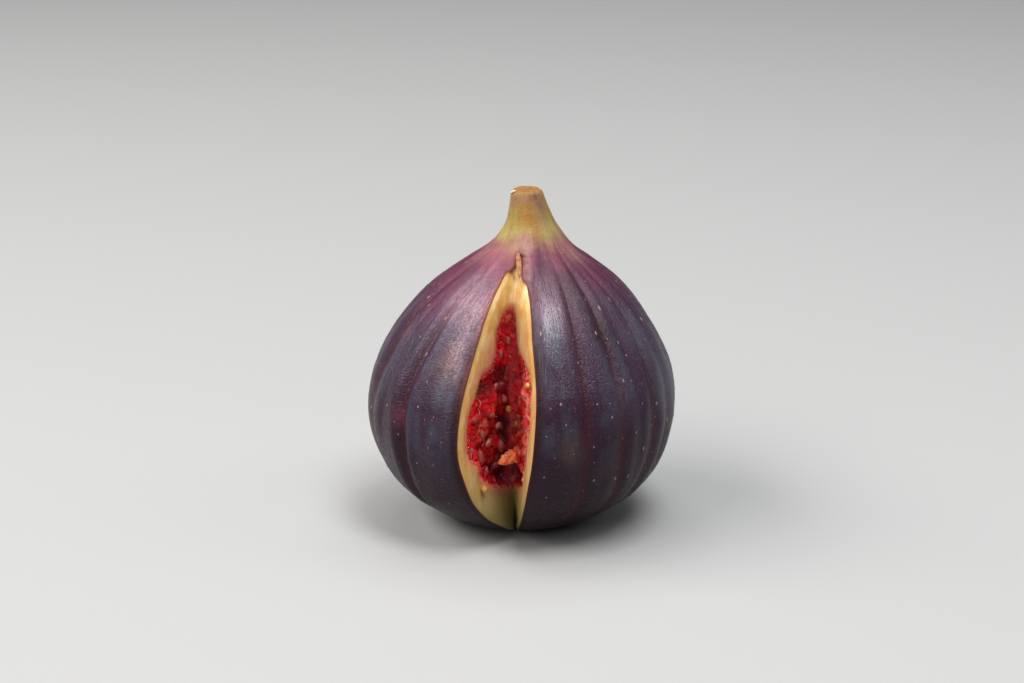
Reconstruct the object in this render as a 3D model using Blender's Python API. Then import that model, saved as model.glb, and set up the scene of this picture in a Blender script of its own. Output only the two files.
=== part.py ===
"""A ripe fresh fig standing on its base, with one slit cut down its front and pulled open.

The fruit is one solid, made of level rings from the eye at its base up to the cut end of its stem. Each ring
runs round the skin from the slit's right edge to its left edge, in along the left cut face to the line where
the knife stopped, and back out along the right cut face. Above and below the slit the same points lie on the
skin. Lengths are in millimetres until the mesh is made. Azimuth 0 faces -Y, and positive turns towards +X.
"""

import bpy
import bmesh
import numpy as np

MM = 0.001

# The outline as (radius, height), from the centre of the eye, out over the base, up to the end of the stem.
EYE = [(0.0, 1.2), (1.3, 1.0), (2.2, 0.35), (2.8, 0.0)]
BASE_PATCH = [(7.2, 0.0)]
BODY = [(11.4, 0.9), (15.9, 3.1), (21.0, 7.0), (24.3, 12.0), (26.0, 19.0), (25.3, 26.0), (22.6, 32.0)]
SHOULDER = [(19.3, 37.0), (15.6, 41.0), (11.1, 44.5), (7.05, 47.5), (4.35, 51.0)]
STEM = [(3.25, 54.0), (2.7, 56.3)]
STEM_END = [(2.4, 56.8), (1.4, 57.0), (0.0, 57.0)]
RINGS_PER_SPAN = 3

# How far the neck leans towards +X: (height, offset).
LEAN = [(0.0, 0.0), (20.0, 0.0), (35.0, 0.5), (45.0, 1.3), (50.0, 1.6), (57.0, 0.75)]

# Grooves that run from the neck to the base: (azimuth in degrees, depth).
FURROWS = [
    (-75.0, 0.35), (-50.5, 0.60), (-38.0, 0.35), (23.4, 0.30), (37.2, 0.35), (56.6, 0.40), (72.0, 0.30),
    (99.0, 0.35), (116.0, 0.30), (137.0, 0.45), (156.0, 0.30), (171.0, 0.35), (-166.0, 0.40), (-147.0, 0.30),
    (-128.0, 0.45), (-111.0, 0.30),
]
FURROW_HALF_WIDTH = 5.0
FURROW_BOTTOM, FURROW_TOP = 3.0, 50.0
FURROW_FADE = 7.0

# The slit: its two edges as (height, azimuth), and the upright line (x, y) that the knife reached.
LEFT_EDGE = [
    (0.0, -8.0), (2.5, -11.0), (4.7, -15.5), (6.5, -18.0), (9.6, -20.8), (13.4, -22.4), (18.0, -24.0),
    (26.0, -23.7), (35.0, -22.8), (41.0, -21.0), (44.0, -18.0), (46.5, -12.5), (57.0, -12.5),
]
RIGHT_EDGE = [
    (0.0, -3.0), (3.0, -1.5), (7.2, 0.5), (13.4, 2.5), (19.0, 4.0), (29.0, 5.0), (36.7, 3.2), (42.0, 1.5),
    (44.0, -3.5), (46.5, -9.5), (57.0, -9.5),
]
KNIFE_LINE = np.array((-1.2, -7.4))
SLIT_BOTTOM, SLIT_TOP = 0.5, 46.3
LEAST_DEPTH = 0.4

SKIN_STEPS = 74
FACE_STEPS = 3
KEY_STEPS = 8
SHARP_ANGLE = 40.0

SKIN_COLOUR = (0.085, 0.030, 0.075, 1.0)
SKIN_ROUGHNESS = 0.42


def smooth_path(points, steps):
    """A Catmull-Rom curve through the points, with the given number of steps from each point to the next."""
    p = np.array(points, float)
    p = np.vstack([2 * p[0] - p[1], p, 2 * p[-1] - p[-2]])
    path = []
    for a, b, c, d in zip(p, p[1:], p[2:], p[3:]):
        slope = c - a
        bend = 2 * a - 5 * b + 4 * c - d
        twist = 3 * b - a - 3 * c + d
        for t in np.arange(steps) / steps:
            path.append(b + 0.5 * (slope * t + bend * t**2 + twist * t**3))
    path.append(p[-2])
    return np.array(path)


def keyed(keys, height):
    """The value of a table of (height, value) at a height, along a smooth path through its keys."""
    path = smooth_path(keys, KEY_STEPS)
    return np.interp(height, path[:, 0], path[:, 1])


def profile():
    """The rings' (radius, height), from the centre of the eye to the centre of the stem's end."""
    wall = smooth_path(BASE_PATCH + BODY + SHOULDER + STEM, RINGS_PER_SPAN)
    wall[:, 1] = np.maximum(wall[:, 1], 0.0)
    return EYE + [tuple(ring) for ring in wall] + STEM_END


def furrow_depth(azimuths, height):
    """How deep the furrows are at each azimuth of one height. They fade out at the base and on the neck."""
    fade = min(1.0, max(0.0, (height - FURROW_BOTTOM) / FURROW_FADE))
    fade *= min(1.0, max(0.0, (FURROW_TOP - height) / FURROW_FADE))
    depth = np.zeros_like(azimuths)
    for middle, deepest in FURROWS:
        away = (azimuths - middle + 180.0) % 360.0 - 180.0
        depth += deepest * np.exp(-((away / FURROW_HALF_WIDTH) ** 2))
    return depth * fade


def skin_points(azimuths, radius, height):
    """Points (x, y) on the skin at the azimuths, in degrees, of the ring with this radius and height."""
    around = np.radians(azimuths)
    reach = radius - furrow_depth(azimuths, height)
    return np.stack([keyed(LEAN, height) + reach * np.sin(around), -reach * np.cos(around)], axis=1)


def ring_points(radius, height):
    """One ring: round the skin, then in along the slit's left cut face and out along its right one."""
    left, right = keyed(LEFT_EDGE, height), keyed(RIGHT_EDGE, height)
    skin = skin_points(np.linspace(right, left + 360.0, SKIN_STEPS + 1), radius, height)
    knife_radius = np.hypot(KNIFE_LINE[0] - keyed(LEAN, height), KNIFE_LINE[1])
    is_open = SLIT_BOTTOM < height < SLIT_TOP and radius > knife_radius + LEAST_DEPTH
    if is_open:
        inward = np.linspace(0.0, 1.0, FACE_STEPS + 1)[1:, None]
        left_face = skin[-1] + (KNIFE_LINE - skin[-1]) * inward
        right_face = KNIFE_LINE + (skin[0] - KNIFE_LINE) * inward
        return np.vstack([skin, left_face, right_face[:-1]])
    return np.vstack([skin, skin_points(np.linspace(left, right, 2 * FACE_STEPS + 1)[1:-1], radius, height)])


def add_rings(bm):
    """Make every ring's vertices. The centres of the eye and of the stem's end are rings of one vertex."""
    rings = []
    for radius, height in profile():
        if radius == 0.0:
            points = [(keyed(LEAN, height), 0.0)]
        else:
            points = ring_points(radius, height)
        rings.append([bm.verts.new((x, y, height)) for x, y in points])
    return rings


def join_rings(bm, rings):
    """Join each ring to the next with faces, which are triangles at the two single vertices."""
    for low, high in zip(rings, rings[1:]):
        count = max(len(low), len(high))
        for here in range(count):
            after = (here + 1) % count
            below = [low[here % len(low)], low[after % len(low)]]
            above = [high[after % len(high)], high[here % len(high)]]
            bm.faces.new(list(dict.fromkeys(below + above)))
    bmesh.ops.recalc_face_normals(bm, faces=bm.faces)
    bmesh.ops.triangulate(bm, faces=bm.faces)


def centre_and_scale(bm):
    """Put the middle of the fruit's box over the origin, and turn millimetres into metres."""
    across = np.array([vertex.co for vertex in bm.verts])
    middle = (across.min(axis=0) + across.max(axis=0)) / 2
    for vertex in bm.verts:
        vertex.co.x -= middle[0]
        vertex.co.y -= middle[1]
        vertex.co *= MM


def fig_mesh():
    """The whole fruit as one closed mesh."""
    bm = bmesh.new()
    join_rings(bm, add_rings(bm))
    centre_and_scale(bm)
    mesh = bpy.data.meshes.new("fig")
    bm.to_mesh(mesh)
    bm.free()
    mesh.shade_smooth()
    mesh.set_sharp_from_angle(angle=np.radians(SHARP_ANGLE))
    return mesh


def skin_material():
    """The dusky purple of the ripe skin."""
    material = bpy.data.materials.new("fig_skin")
    material.use_nodes = True
    shader = material.node_tree.nodes["Principled BSDF"]
    shader.inputs["Base Color"].default_value = SKIN_COLOUR
    shader.inputs["Roughness"].default_value = SKIN_ROUGHNESS
    shader.inputs["Metallic"].default_value = 0.0
    return material


def main():
    """Clear the scene and make the fig."""
    for old in list(bpy.data.objects):
        bpy.data.objects.remove(old, do_unlink=True)
    mesh = fig_mesh()
    mesh.materials.append(skin_material())
    fig = bpy.data.objects.new("fig", mesh)
    bpy.context.scene.collection.objects.link(fig)


main()
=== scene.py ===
"""The looks of a ripe fresh fig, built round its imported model: skin, cut faces, flesh, seeds and stem."""

import logging
import math
from dataclasses import dataclass, field
from enum import Enum
from functools import cached_property, lru_cache, reduce
from typing import Sequence

import bpy
import numpy as np
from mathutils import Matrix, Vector


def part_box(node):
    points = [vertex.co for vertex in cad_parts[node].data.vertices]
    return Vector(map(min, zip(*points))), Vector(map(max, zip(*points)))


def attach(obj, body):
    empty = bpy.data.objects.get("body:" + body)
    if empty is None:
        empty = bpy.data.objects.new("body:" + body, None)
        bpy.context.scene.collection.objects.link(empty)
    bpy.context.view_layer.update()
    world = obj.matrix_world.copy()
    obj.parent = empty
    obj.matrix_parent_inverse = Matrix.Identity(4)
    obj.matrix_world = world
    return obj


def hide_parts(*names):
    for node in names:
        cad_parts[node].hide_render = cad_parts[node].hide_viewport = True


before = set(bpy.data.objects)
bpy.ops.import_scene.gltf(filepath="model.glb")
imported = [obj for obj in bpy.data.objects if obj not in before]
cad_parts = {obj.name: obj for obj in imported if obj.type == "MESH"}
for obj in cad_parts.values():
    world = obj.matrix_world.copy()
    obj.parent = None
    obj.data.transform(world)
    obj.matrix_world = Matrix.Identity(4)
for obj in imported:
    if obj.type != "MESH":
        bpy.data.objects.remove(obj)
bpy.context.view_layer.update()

MM = 0.001
LOG = logging.getLogger("fig")

Array = np.ndarray
Colour = tuple[float, float, float]
Keys = tuple[tuple[float, float], ...]
Faces = list[tuple[int, ...]]
Socket = bpy.types.NodeSocket
Material = bpy.types.Material

FAR = 99.0  # A distance in millimetres that counts as out of reach.
RIM_REACH = 9.0  # How far from the slit's rim the skin's material still looks.
STEM_TOP = 57.0
KEY_STEPS = 12


def smooth_path(points: Sequence[Sequence[float]], steps: int) -> Array:
    """Draw a Catmull-Rom curve through points.

    Args:
        points: The points that the curve passes, all of one length.
        steps: How many steps to take from each point to the next.

    Returns:
        The curve's points, one row each.
    """
    p = np.array(points, float)
    p = np.vstack([2 * p[0] - p[1], p, 2 * p[-1] - p[-2]])
    t = (np.arange(steps) / steps)[:, None]
    path = []
    for a, b, c, d in zip(p, p[1:], p[2:], p[3:]):
        bend = 2 * a - 5 * b + 4 * c - d
        twist = 3 * b - a - 3 * c + d
        path.append(b + 0.5 * ((c - a) * t + bend * t**2 + twist * t**3))
    return np.vstack(path + [p[-2:-1]])


@lru_cache(maxsize=64)
def key_curve(keys: Keys) -> tuple[Array, Array]:
    """Draw the smooth curve through (place, value) keys once, as its places and its values."""
    path = smooth_path(keys, KEY_STEPS)
    return path[:, 0], path[:, 1]


def keyed(keys: Keys, at: Array | float) -> Array:
    """Read the smooth curve through (place, value) keys, which keeps its end values past its ends."""
    return np.interp(at, *key_curve(keys))


def smoothstep(low: float, high: float, value: Array) -> Array:
    """Ease from 0 at low to 1 at high."""
    t = np.clip((value - low) / (high - low), 0.0, 1.0)
    return t * t * (3.0 - 2.0 * t)


def unit(vectors: Array) -> Array:
    """Scale each row to length 1."""
    return vectors / np.maximum(np.linalg.norm(vectors, axis=-1, keepdims=True), 1e-9)


def run_length(path: Array) -> Array:
    """How far along a path each of its points lies."""
    return np.concatenate([[0.0], np.cumsum(np.linalg.norm(np.diff(path, axis=0), axis=1))])


def evened(path: Array, count: int) -> Array:
    """Space points evenly along a path.

    Args:
        path: The path's points, as (x, y).
        count: How many points to space along it.

    Returns:
        The points.
    """
    run = run_length(path)
    even = np.linspace(0.0, run[-1], count)
    return np.stack([np.interp(even, run, path[:, 0]), np.interp(even, run, path[:, 1])], axis=1)


def turned_by(azimuth: Array, middle: Array | float) -> Array:
    """How far azimuths lie from a middle one, from -180 to 180 degrees."""
    return (azimuth - middle + 180.0) % 360.0 - 180.0


class Noise:
    """Smooth seeded noise in space, from -1 to 1."""

    TABLE = 4096

    def __init__(self, seed: int) -> None:
        """Fill the lattice's values from the seed."""
        rng = np.random.default_rng(seed)
        self.values = rng.random(self.TABLE) * 2.0 - 1.0
        self.order = rng.permutation(self.TABLE)

    def at(self, points: Array, size: float) -> Array:
        """Read one octave.

        Args:
            points: Points, one row of three each.
            size: The size of a lump, in the points' units.

        Returns:
            One value a point.
        """
        p = points / size
        cell = np.floor(p).astype(int)
        f = p - cell
        f = f * f * (3.0 - 2.0 * f)
        total = np.zeros(len(points))
        for corner in range(8):
            step = np.array([corner & 1, corner >> 1 & 1, corner >> 2 & 1])
            spot = self.order[(cell[:, 0] + step[0]) % self.TABLE]
            spot = self.order[(spot + cell[:, 1] + step[1]) % self.TABLE]
            spot = self.order[(spot + cell[:, 2] + step[2]) % self.TABLE]
            weight = np.prod(np.where(step, f, 1.0 - f), axis=1)
            total += weight * self.values[spot]
        return total

    def on_grid(self, x: Array, y: Array, z: float, size: float) -> Array:
        """Read one octave at a level grid's points, as a grid."""
        return self.at(np.column_stack([x.ravel(), y.ravel(), np.full(x.size, z)]), size).reshape(x.shape)

    def shove(self, points: Array, size: float) -> Array:
        """Read one octave for each axis, as one row of three a point."""
        return np.stack([self.at(points + 9.0 * axis, size) for axis in range(3)], axis=-1)


@dataclass(frozen=True)
class Furrow:
    """One groove that runs from the neck to the base.

    Attributes:
        azimuth: Where it lies at its middle, in degrees. 0 faces -Y, and positive turns towards +X.
        depth: Its depth in millimetres.
        width: Half its width in degrees.
        drift: How far it has turned, in degrees, 20 mm above its middle.
        low: The height where it begins.
        high: The height where it ends.
    """

    azimuth: float
    depth: float
    width: float = 3.0
    drift: float = 0.0
    low: float = 2.0
    high: float = 50.0


FURROWS = tuple(Furrow(*row) for row in (
    (-75.0, 0.42, 3.4, 4.0), (-63.0, 0.16, 2.4, 2.0, 14.0, 48.0), (-50.5, 1.0, 2.3, 3.5),
    (-38.5, 0.14, 3.0, 3.0, 16.0, 42.0), (1.5, -0.5, 9.0, 0.0, 41.0, 53.0),
    (17.0, 0.45, 9.0, -3.0, 39.0, 52.0), (-31.0, 0.25, 9.0, 0.0, 38.0, 55.0), (24.6, 0.42, 2.5, 0.0),
    (30.5, 0.14, 2.4, -2.0, 24.0, 49.0), (40.0, 0.46, 2.5, 0.0), (50.0, 0.14, 2.6, -1.0, 8.0, 47.0),
    (58.0, 0.55, 2.6, 1.5), (64.5, 0.14, 2.2, 1.0, 20.0, 49.0), (69.0, 0.36, 2.8, 3.5),
    (85.0, 0.16, 2.6, -2.0, 10.0, 46.0), (99.0, 0.44, 3.2, -1.0), (116.0, 0.34, 3.4, 2.0),
    (127.0, 0.14, 2.4, 1.0, 16.0, 48.0), (137.0, 0.6, 2.8, -2.0), (156.0, 0.34, 3.4, 1.5),
    (171.0, 0.46, 3.0, -1.0), (-177.0, 0.14, 2.4, 1.0, 22.0, 48.0), (-166.0, 0.48, 3.2, 2.0),
    (-147.0, 0.34, 3.2, -1.5), (-138.0, 0.14, 2.4, 1.0, 14.0, 47.0), (-128.0, 0.58, 2.8, 1.0),
    (-111.0, 0.36, 3.2, 2.5), (-93.0, 0.24, 3.0, 2.0),
))


@dataclass(frozen=True)
class FigForm:
    """The shape that skin, cut faces and flesh share, in millimetres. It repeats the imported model's sizes."""

    eye: Keys = ((0.0, 1.2), (0.6, 1.15), (1.3, 1.0), (1.8, 0.7), (2.2, 0.35), (2.8, 0.02))
    body: Keys = (
        (2.8, 0.02), (7.2, 0.0), (11.4, 0.9), (15.9, 3.1), (21.0, 7.0), (24.3, 12.0), (26.0, 19.0),
        (25.3, 26.0), (22.6, 32.0), (19.3, 37.0), (15.6, 41.0), (11.1, 44.5), (7.05, 47.5), (4.35, 51.0),
        (3.25, 54.0), (2.7, 56.3),
    )
    stem_end: Keys = (
        (2.62, 56.62), (2.42, 56.85), (2.1, 56.96), (1.6, 56.97), (1.1, 56.93), (0.5, 56.88), (0.0, 56.86),
    )
    lean: Keys = ((0.0, 0.0), (20.0, 0.0), (35.0, 0.5), (45.0, 1.3), (50.0, 1.6), (57.0, 0.75))
    left_edge: Keys = (
        (0.0, -7.0), (2.5, -11.0), (4.7, -15.5), (6.5, -18.0), (9.6, -20.8), (13.4, -22.4), (18.0, -24.0),
        (26.0, -23.7), (35.0, -22.9), (39.2, -23.3), (42.2, -24.0), (44.0, -24.2), (44.8, -24.0),
        (45.2, -22.6), (45.45, -20.6), (45.8, -18.6), (46.5, -18.6), (47.5, -20.3),
    )
    right_edge: Keys = (
        (0.0, -5.0), (3.0, -1.5), (7.2, 0.5), (13.4, 2.5), (19.0, 4.0), (29.0, 5.0), (36.7, 3.2),
        (39.4, 2.6), (41.6, 1.4), (42.3, 0.5), (43.3, -0.9), (43.75, -2.2), (44.0, -4.8), (44.4, -6.6),
        (45.6, -9.2), (46.6, -12.0), (47.5, -15.6),
    )
    slit_low: float = 0.35
    slit_high: float = 47.45
    knife_x: Keys = (
        (0.0, -0.2), (4.0, -0.5), (8.0, -1.0), (12.0, -1.2), (40.0, -1.2), (44.0, -0.9), (57.0, -0.9),
    )
    knife_y: Keys = (
        (0.0, -7.0), (3.0, -7.2), (8.0, -7.4), (42.0, -7.4), (45.0, -6.8), (47.6, -6.2), (57.0, -6.2),
    )
    left_flesh: Keys = (
        (8.4, 0.0), (8.9, 3.8), (9.9, 6.9), (11.1, 9.1), (12.5, 11.3), (13.7, 12.0), (15.0, 12.1),
        (15.9, 13.4), (16.8, 14.6), (19.2, 15.3), (22.0, 15.2), (24.7, 14.5), (26.7, 12.6), (27.8, 11.6),
        (29.6, 11.0),
        (30.4, 7.8), (32.1, 6.4), (35.8, 5.8), (37.3, 4.7), (38.6, 3.4), (39.2, 1.6), (39.5, 0.0),
    )
    right_flesh: Keys = (
        (8.6, 0.0), (9.6, 4.2), (10.4, 7.6), (11.4, 10.6), (12.9, 11.9), (15.1, 12.3), (17.0, 13.3),
        (20.8, 13.5), (22.9, 14.1), (27.5, 12.8), (30.2, 11.6), (31.2, 9.0), (31.8, 5.6), (32.5, 3.4),
        (34.0, 2.7), (36.0, 1.8), (38.2, 0.9), (38.9, 0.0),
    )
    valley_round: Keys = (
        (0.0, 0.8), (2.0, 1.8), (5.0, 3.0), (8.0, 2.8), (10.0, 2.4), (12.0, 2.2), (30.0, 2.2), (36.0, 1.8),
        (41.0, 3.2), (45.0, 2.4), (47.6, 0.8),
    )

    @cached_property
    def wall(self) -> Array:
        """The smooth outline's wall as rows of (radius, height), nowhere under the floor."""
        return np.maximum(smooth_path(self.body, 16), 0.0)

    def radius_at(self, height: Array | float) -> Array:
        """The outline's radius at heights up the wall."""
        above = self.wall[:, 1] > 1e-6
        return np.interp(height, self.wall[above, 1], self.wall[above, 0])

    def lean_at(self, height: Array | float) -> Array:
        """How far the neck leans to +X at each height."""
        return keyed(self.lean, height)

    def knife_at(self, height: Array | float) -> Array:
        """Where the knife stopped at each height, as (x, y)."""
        return np.stack([keyed(self.knife_x, height), keyed(self.knife_y, height)], axis=-1)


class Side(Enum):
    """The two cut faces of the slit, as the viewer sees them."""

    LEFT = -1
    RIGHT = 1

    @property
    def column(self) -> int:
        """The skin grid's column that runs along this face's rim."""
        return -1 if self is Side.LEFT else 0


def on_faces(kind: type, left: Sequence[tuple], right: Sequence[tuple] = ()) -> tuple:
    """Make things of a kind, given as rows of what follows their side, on the left face and on the right."""
    return tuple(kind(side, *row) for side, rows in zip(Side, (left, right)) for row in rows)


@dataclass
class SkinRelief:
    """Everything that lifts or sinks the skin from the smooth outline."""

    form: FigForm
    furrows: tuple[Furrow, ...] = FURROWS
    lip_roll: dict[Side, float] = field(default_factory=lambda: {Side.LEFT: 0.34, Side.RIGHT: 0.62})
    lip_reach: dict[Side, float] = field(default_factory=lambda: {Side.LEFT: 0.65, Side.RIGHT: 1.25})
    waist: float = 22.0
    ease: tuple[float, float] = (7.0, 8.0)
    flute_height: float = 0.09
    noise: Noise = field(default_factory=lambda: Noise(11))

    def crease(self, azimuth: Array, height: Array) -> tuple[Array, Array]:
        """Measure the furrows.

        Args:
            azimuth: Azimuths in degrees.
            height: Heights in millimetres.

        Returns:
            The depth in millimetres, and how much each point is in a furrow, from 0 to 1.
        """
        depth = np.zeros_like(azimuth)
        share = np.zeros_like(azimuth)
        for i, furrow in enumerate(self.furrows):
            lane = np.full_like(height, 9.0 * i)
            line = furrow.azimuth + furrow.drift * (height - self.waist) / 20.0
            line = line + 1.3 * self.noise.on_grid(height, lane, 0.0, 9.0)
            away = np.abs(turned_by(azimuth, line)) / furrow.width
            fade = smoothstep(furrow.low, furrow.low + self.ease[0], height)
            fade *= 1.0 - smoothstep(furrow.high - self.ease[1], furrow.high, height)
            swell = 1.0 + 0.35 * self.noise.on_grid(height + 50.0, lane + 50.0, 50.0, 6.0)
            valley = np.exp(-(away**1.5))
            depth += furrow.depth * fade * swell * (valley - 0.25 * np.exp(-((away - 2.1) ** 2)))
            share = np.maximum(share, valley * fade * min(1.0, furrow.depth / 0.4))
        return depth, share

    def flute(self, azimuth: Array, height: Array) -> Array:
        """Raise the low ridges that run up the neck and stem.

        Args:
            azimuth: Azimuths in degrees.
            height: Heights.

        Returns:
            Their height at each point.
        """
        around = np.radians(azimuth)
        wave = 0.55 * np.cos(6.0 * around - 1.0) + 0.45 * np.cos(11.0 * around + 0.6)
        fade = 1.0 - 0.5 * smoothstep(52.0, STEM_TOP, height)
        return self.flute_height * wave * smoothstep(43.5, 48.0, height) * fade

    def lumps(self, points: Array) -> Array:
        """Give the skin its soft unevenness.

        Args:
            points: Points, one row of three each.

        Returns:
            The lift at each point.
        """
        fade = smoothstep(0.3, 3.0, points[:, 2]) * (1.0 - 0.6 * smoothstep(46.0, 52.0, points[:, 2]))
        swell = 0.14 * self.noise.at(points, 11.0) + 0.06 * self.noise.at(points, 4.0)
        swell += 0.014 * self.noise.at(points * np.array([1.0, 1.0, 1.7]), 1.5)
        return swell * fade - 0.12 * fade

    def lift(self, azimuth: Array, radius: Array, height: Array) -> Array:
        """Measure how far the skin stands off the smooth outline.

        Args:
            azimuth: Azimuths in degrees.
            radius: The outline's radius at each point.
            height: Heights.

        Returns:
            The lift at each point, in the arrays' own shape.
        """
        turn, reach, tall = azimuth.ravel(), radius.ravel(), height.ravel()
        around = np.radians(turn)
        smooth = np.column_stack([reach * np.sin(around), -reach * np.cos(around), tall])
        total = self.flute(turn, tall) + self.lumps(smooth) - self.crease(turn, tall)[0]
        total *= np.where(tall > 56.5, smoothstep(0.0, 2.4, reach), 1.0)
        total *= np.where(tall < 1.25, smoothstep(7.0, 12.0, reach), 1.0)
        return total.reshape(azimuth.shape)

    def on_skin(self, azimuth: Array, height: Array, proud: float) -> Array:
        """Place points on the wall's skin.

        Args:
            azimuth: Azimuths in degrees.
            height: Heights.
            proud: How far off the skin they stand.

        Returns:
            Points, one row of three each.
        """
        radius = self.form.radius_at(height)
        reach = radius + self.lift(azimuth, radius, height) + proud
        around = np.radians(azimuth)
        x = self.form.lean_at(height) + reach * np.sin(around)
        return np.stack([x, -reach * np.cos(around), height], axis=-1)


@dataclass(frozen=True)
class FaceSpot:
    """A soft round place on a cut face: a stain, painted shade, a hollow, or a change in the flesh's tone.

    Attributes:
        side: The face that it is on.
        out: Its middle's distance from the knife line.
        height: Its middle's height.
        across: Half its width along the face.
        tall: Half its height.
        strength: Its strength at its middle, or a hollow's depth in millimetres.
    """

    side: Side
    out: float
    height: float
    across: float
    tall: float
    strength: float

    def at(self, out: Array, height: Array) -> Array:
        """How strong it is at points on its face."""
        away = ((out - self.out) / self.across) ** 2 + ((height - self.height) / self.tall) ** 2
        return self.strength * np.exp(-away)


FACE_SPOTS = {
    "tan_spot": on_faces(
        FaceSpot,
        left=(
            (8.2, 32.5, 2.8, 2.8, 1.0), (10.8, 30.6, 1.8, 1.4, 1.0), (13.2, 27.6, 1.0, 2.4, 0.7),
            (12.6, 14.6, 1.0, 1.0, 0.8), (8.0, 9.6, 3.0, 0.8, 0.5),
        ),
        right=(
            (6.0, 32.6, 2.0, 0.9, 0.6), (15.2, 21.0, 2.6, 8.0, 0.55),
        ),
    ),
    "ochre_spot": on_faces(
        FaceSpot,
        left=(
            (7.0, 36.3, 0.8, 1.6, 1.0), (5.4, 40.0, 0.9, 2.2, 0.8), (16.2, 24.0, 0.8, 4.0, 0.5),
            (14.6, 28.6, 0.9, 2.6, 0.6),
        ),
        right=(
            (9.6, 37.0, 2.6, 4.0, 0.9), (11.3, 10.2, 0.5, 1.1, 1.0), (2.6, 42.0, 1.4, 2.0, 0.6),
            (13.6, 31.0, 1.8, 4.0, 0.8), (16.4, 25.0, 1.3, 6.0, 0.8), (15.2, 14.0, 1.0, 4.0, 0.5),
        ),
    ),
    "orange_spot": on_faces(
        FaceSpot,
        left=(
            (2.4, 39.8, 1.0, 0.7, 0.6),
        ),
        right=(
            (4.9, 39.2, 0.9, 0.8, 0.9), (2.4, 46.0, 1.0, 1.0, 0.8),
        ),
    ),
    "white_spot": on_faces(
        FaceSpot,
        left=(
            (6.0, 42.6, 1.0, 1.6, 0.8), (13.4, 8.6, 3.0, 2.0, 0.5),
        ),
        right=(
            (5.6, 34.6, 2.4, 3.0, 0.9), (5.0, 44.0, 0.9, 1.6, 0.6),
        ),
    ),
    # Painted shade: dark red-brown in the gap at the top of the slit, by the torn strip.
    "bruise_spot": on_faces(
        FaceSpot,
        left=(
            (0.9, 45.2, 0.9, 0.8, 1.0), (0.2, 44.3, 0.5, 0.7, 0.9), (1.2, 46.3, 0.8, 0.8, 0.7),
        ),
    ),
}

# How much deeper, or paler where it is less than zero, the flesh is than its side's own tone.
FLESH_TONES = on_faces(
    FaceSpot,
    left=(
        (4.5, 26.6, 3.2, 2.2, 0.34), (9.6, 27.0, 2.2, 1.4, 0.26), (0.8, 18.7, 1.8, 4.2, 0.42),
        (7.9, 12.6, 3.8, 2.0, 0.3), (1.5, 28.4, 1.6, 1.4, 0.08), (2.6, 10.6, 3.2, 1.8, 0.46),
        (12.8, 23.6, 1.2, 4.0, -0.1), (1.5, 36.2, 1.6, 2.6, -0.34), (1.4, 31.8, 2.2, 2.0, -0.3),
        (9.2, 29.3, 1.5, 0.8, -0.42), (7.4, 19.0, 3.5, 3.4, 0.12), (6.6, 23.6, 1.2, 1.0, -0.16),
    ),
    right=(
        (7.2, 30.7, 2.6, 0.9, -0.3), (6.2, 27.9, 1.6, 1.4, -0.3), (8.6, 24.9, 1.6, 1.4, -0.32),
        (10.3, 22.6, 1.6, 2.0, -0.14), (9.9, 27.4, 1.2, 1.0, 0.12), (10.2, 15.2, 1.8, 2.0, -0.22),
        (7.9, 19.0, 3.0, 2.6, -0.16), (2.0, 34.4, 1.6, 2.2, -0.12), (3.0, 24.6, 1.6, 4.0, 0.0),
        (3.6, 10.8, 3.4, 1.8, 0.6),
    ),
)

FLESH_WARMTH = on_faces(
    FaceSpot,
    left=(
        (10.3, 20.6, 1.6, 1.3, 0.35), (6.0, 23.5, 1.0, 0.8, 0.25),
    ),
    right=(
        (2.0, 19.4, 1.6, 2.6, 0.8), (7.6, 18.8, 1.4, 1.6, 0.4), (4.2, 29.6, 1.0, 1.0, 0.35),
        (6.4, 22.8, 1.2, 0.9, 0.4),
    ),
)

HOLLOWS = on_faces(
    FaceSpot,
    left=(
        (0.9, 45.1, 0.9, 0.8, 0.4), (9.3, 27.2, 2.2, 1.5, 1.5), (1.9, 18.0, 1.6, 3.0, 1.6),
        (6.2, 13.4, 1.6, 1.2, 1.0), (3.2, 10.9, 3.0, 1.3, 1.3), (4.6, 28.6, 1.8, 1.0, 0.9),
        (4.8, 34.8, 0.8, 1.2, 0.5),
    ),
    right=(
        (5.0, 11.6, 3.0, 1.0, 1.0), (4.4, 26.6, 1.4, 1.6, 0.8),
    ),
)


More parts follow.
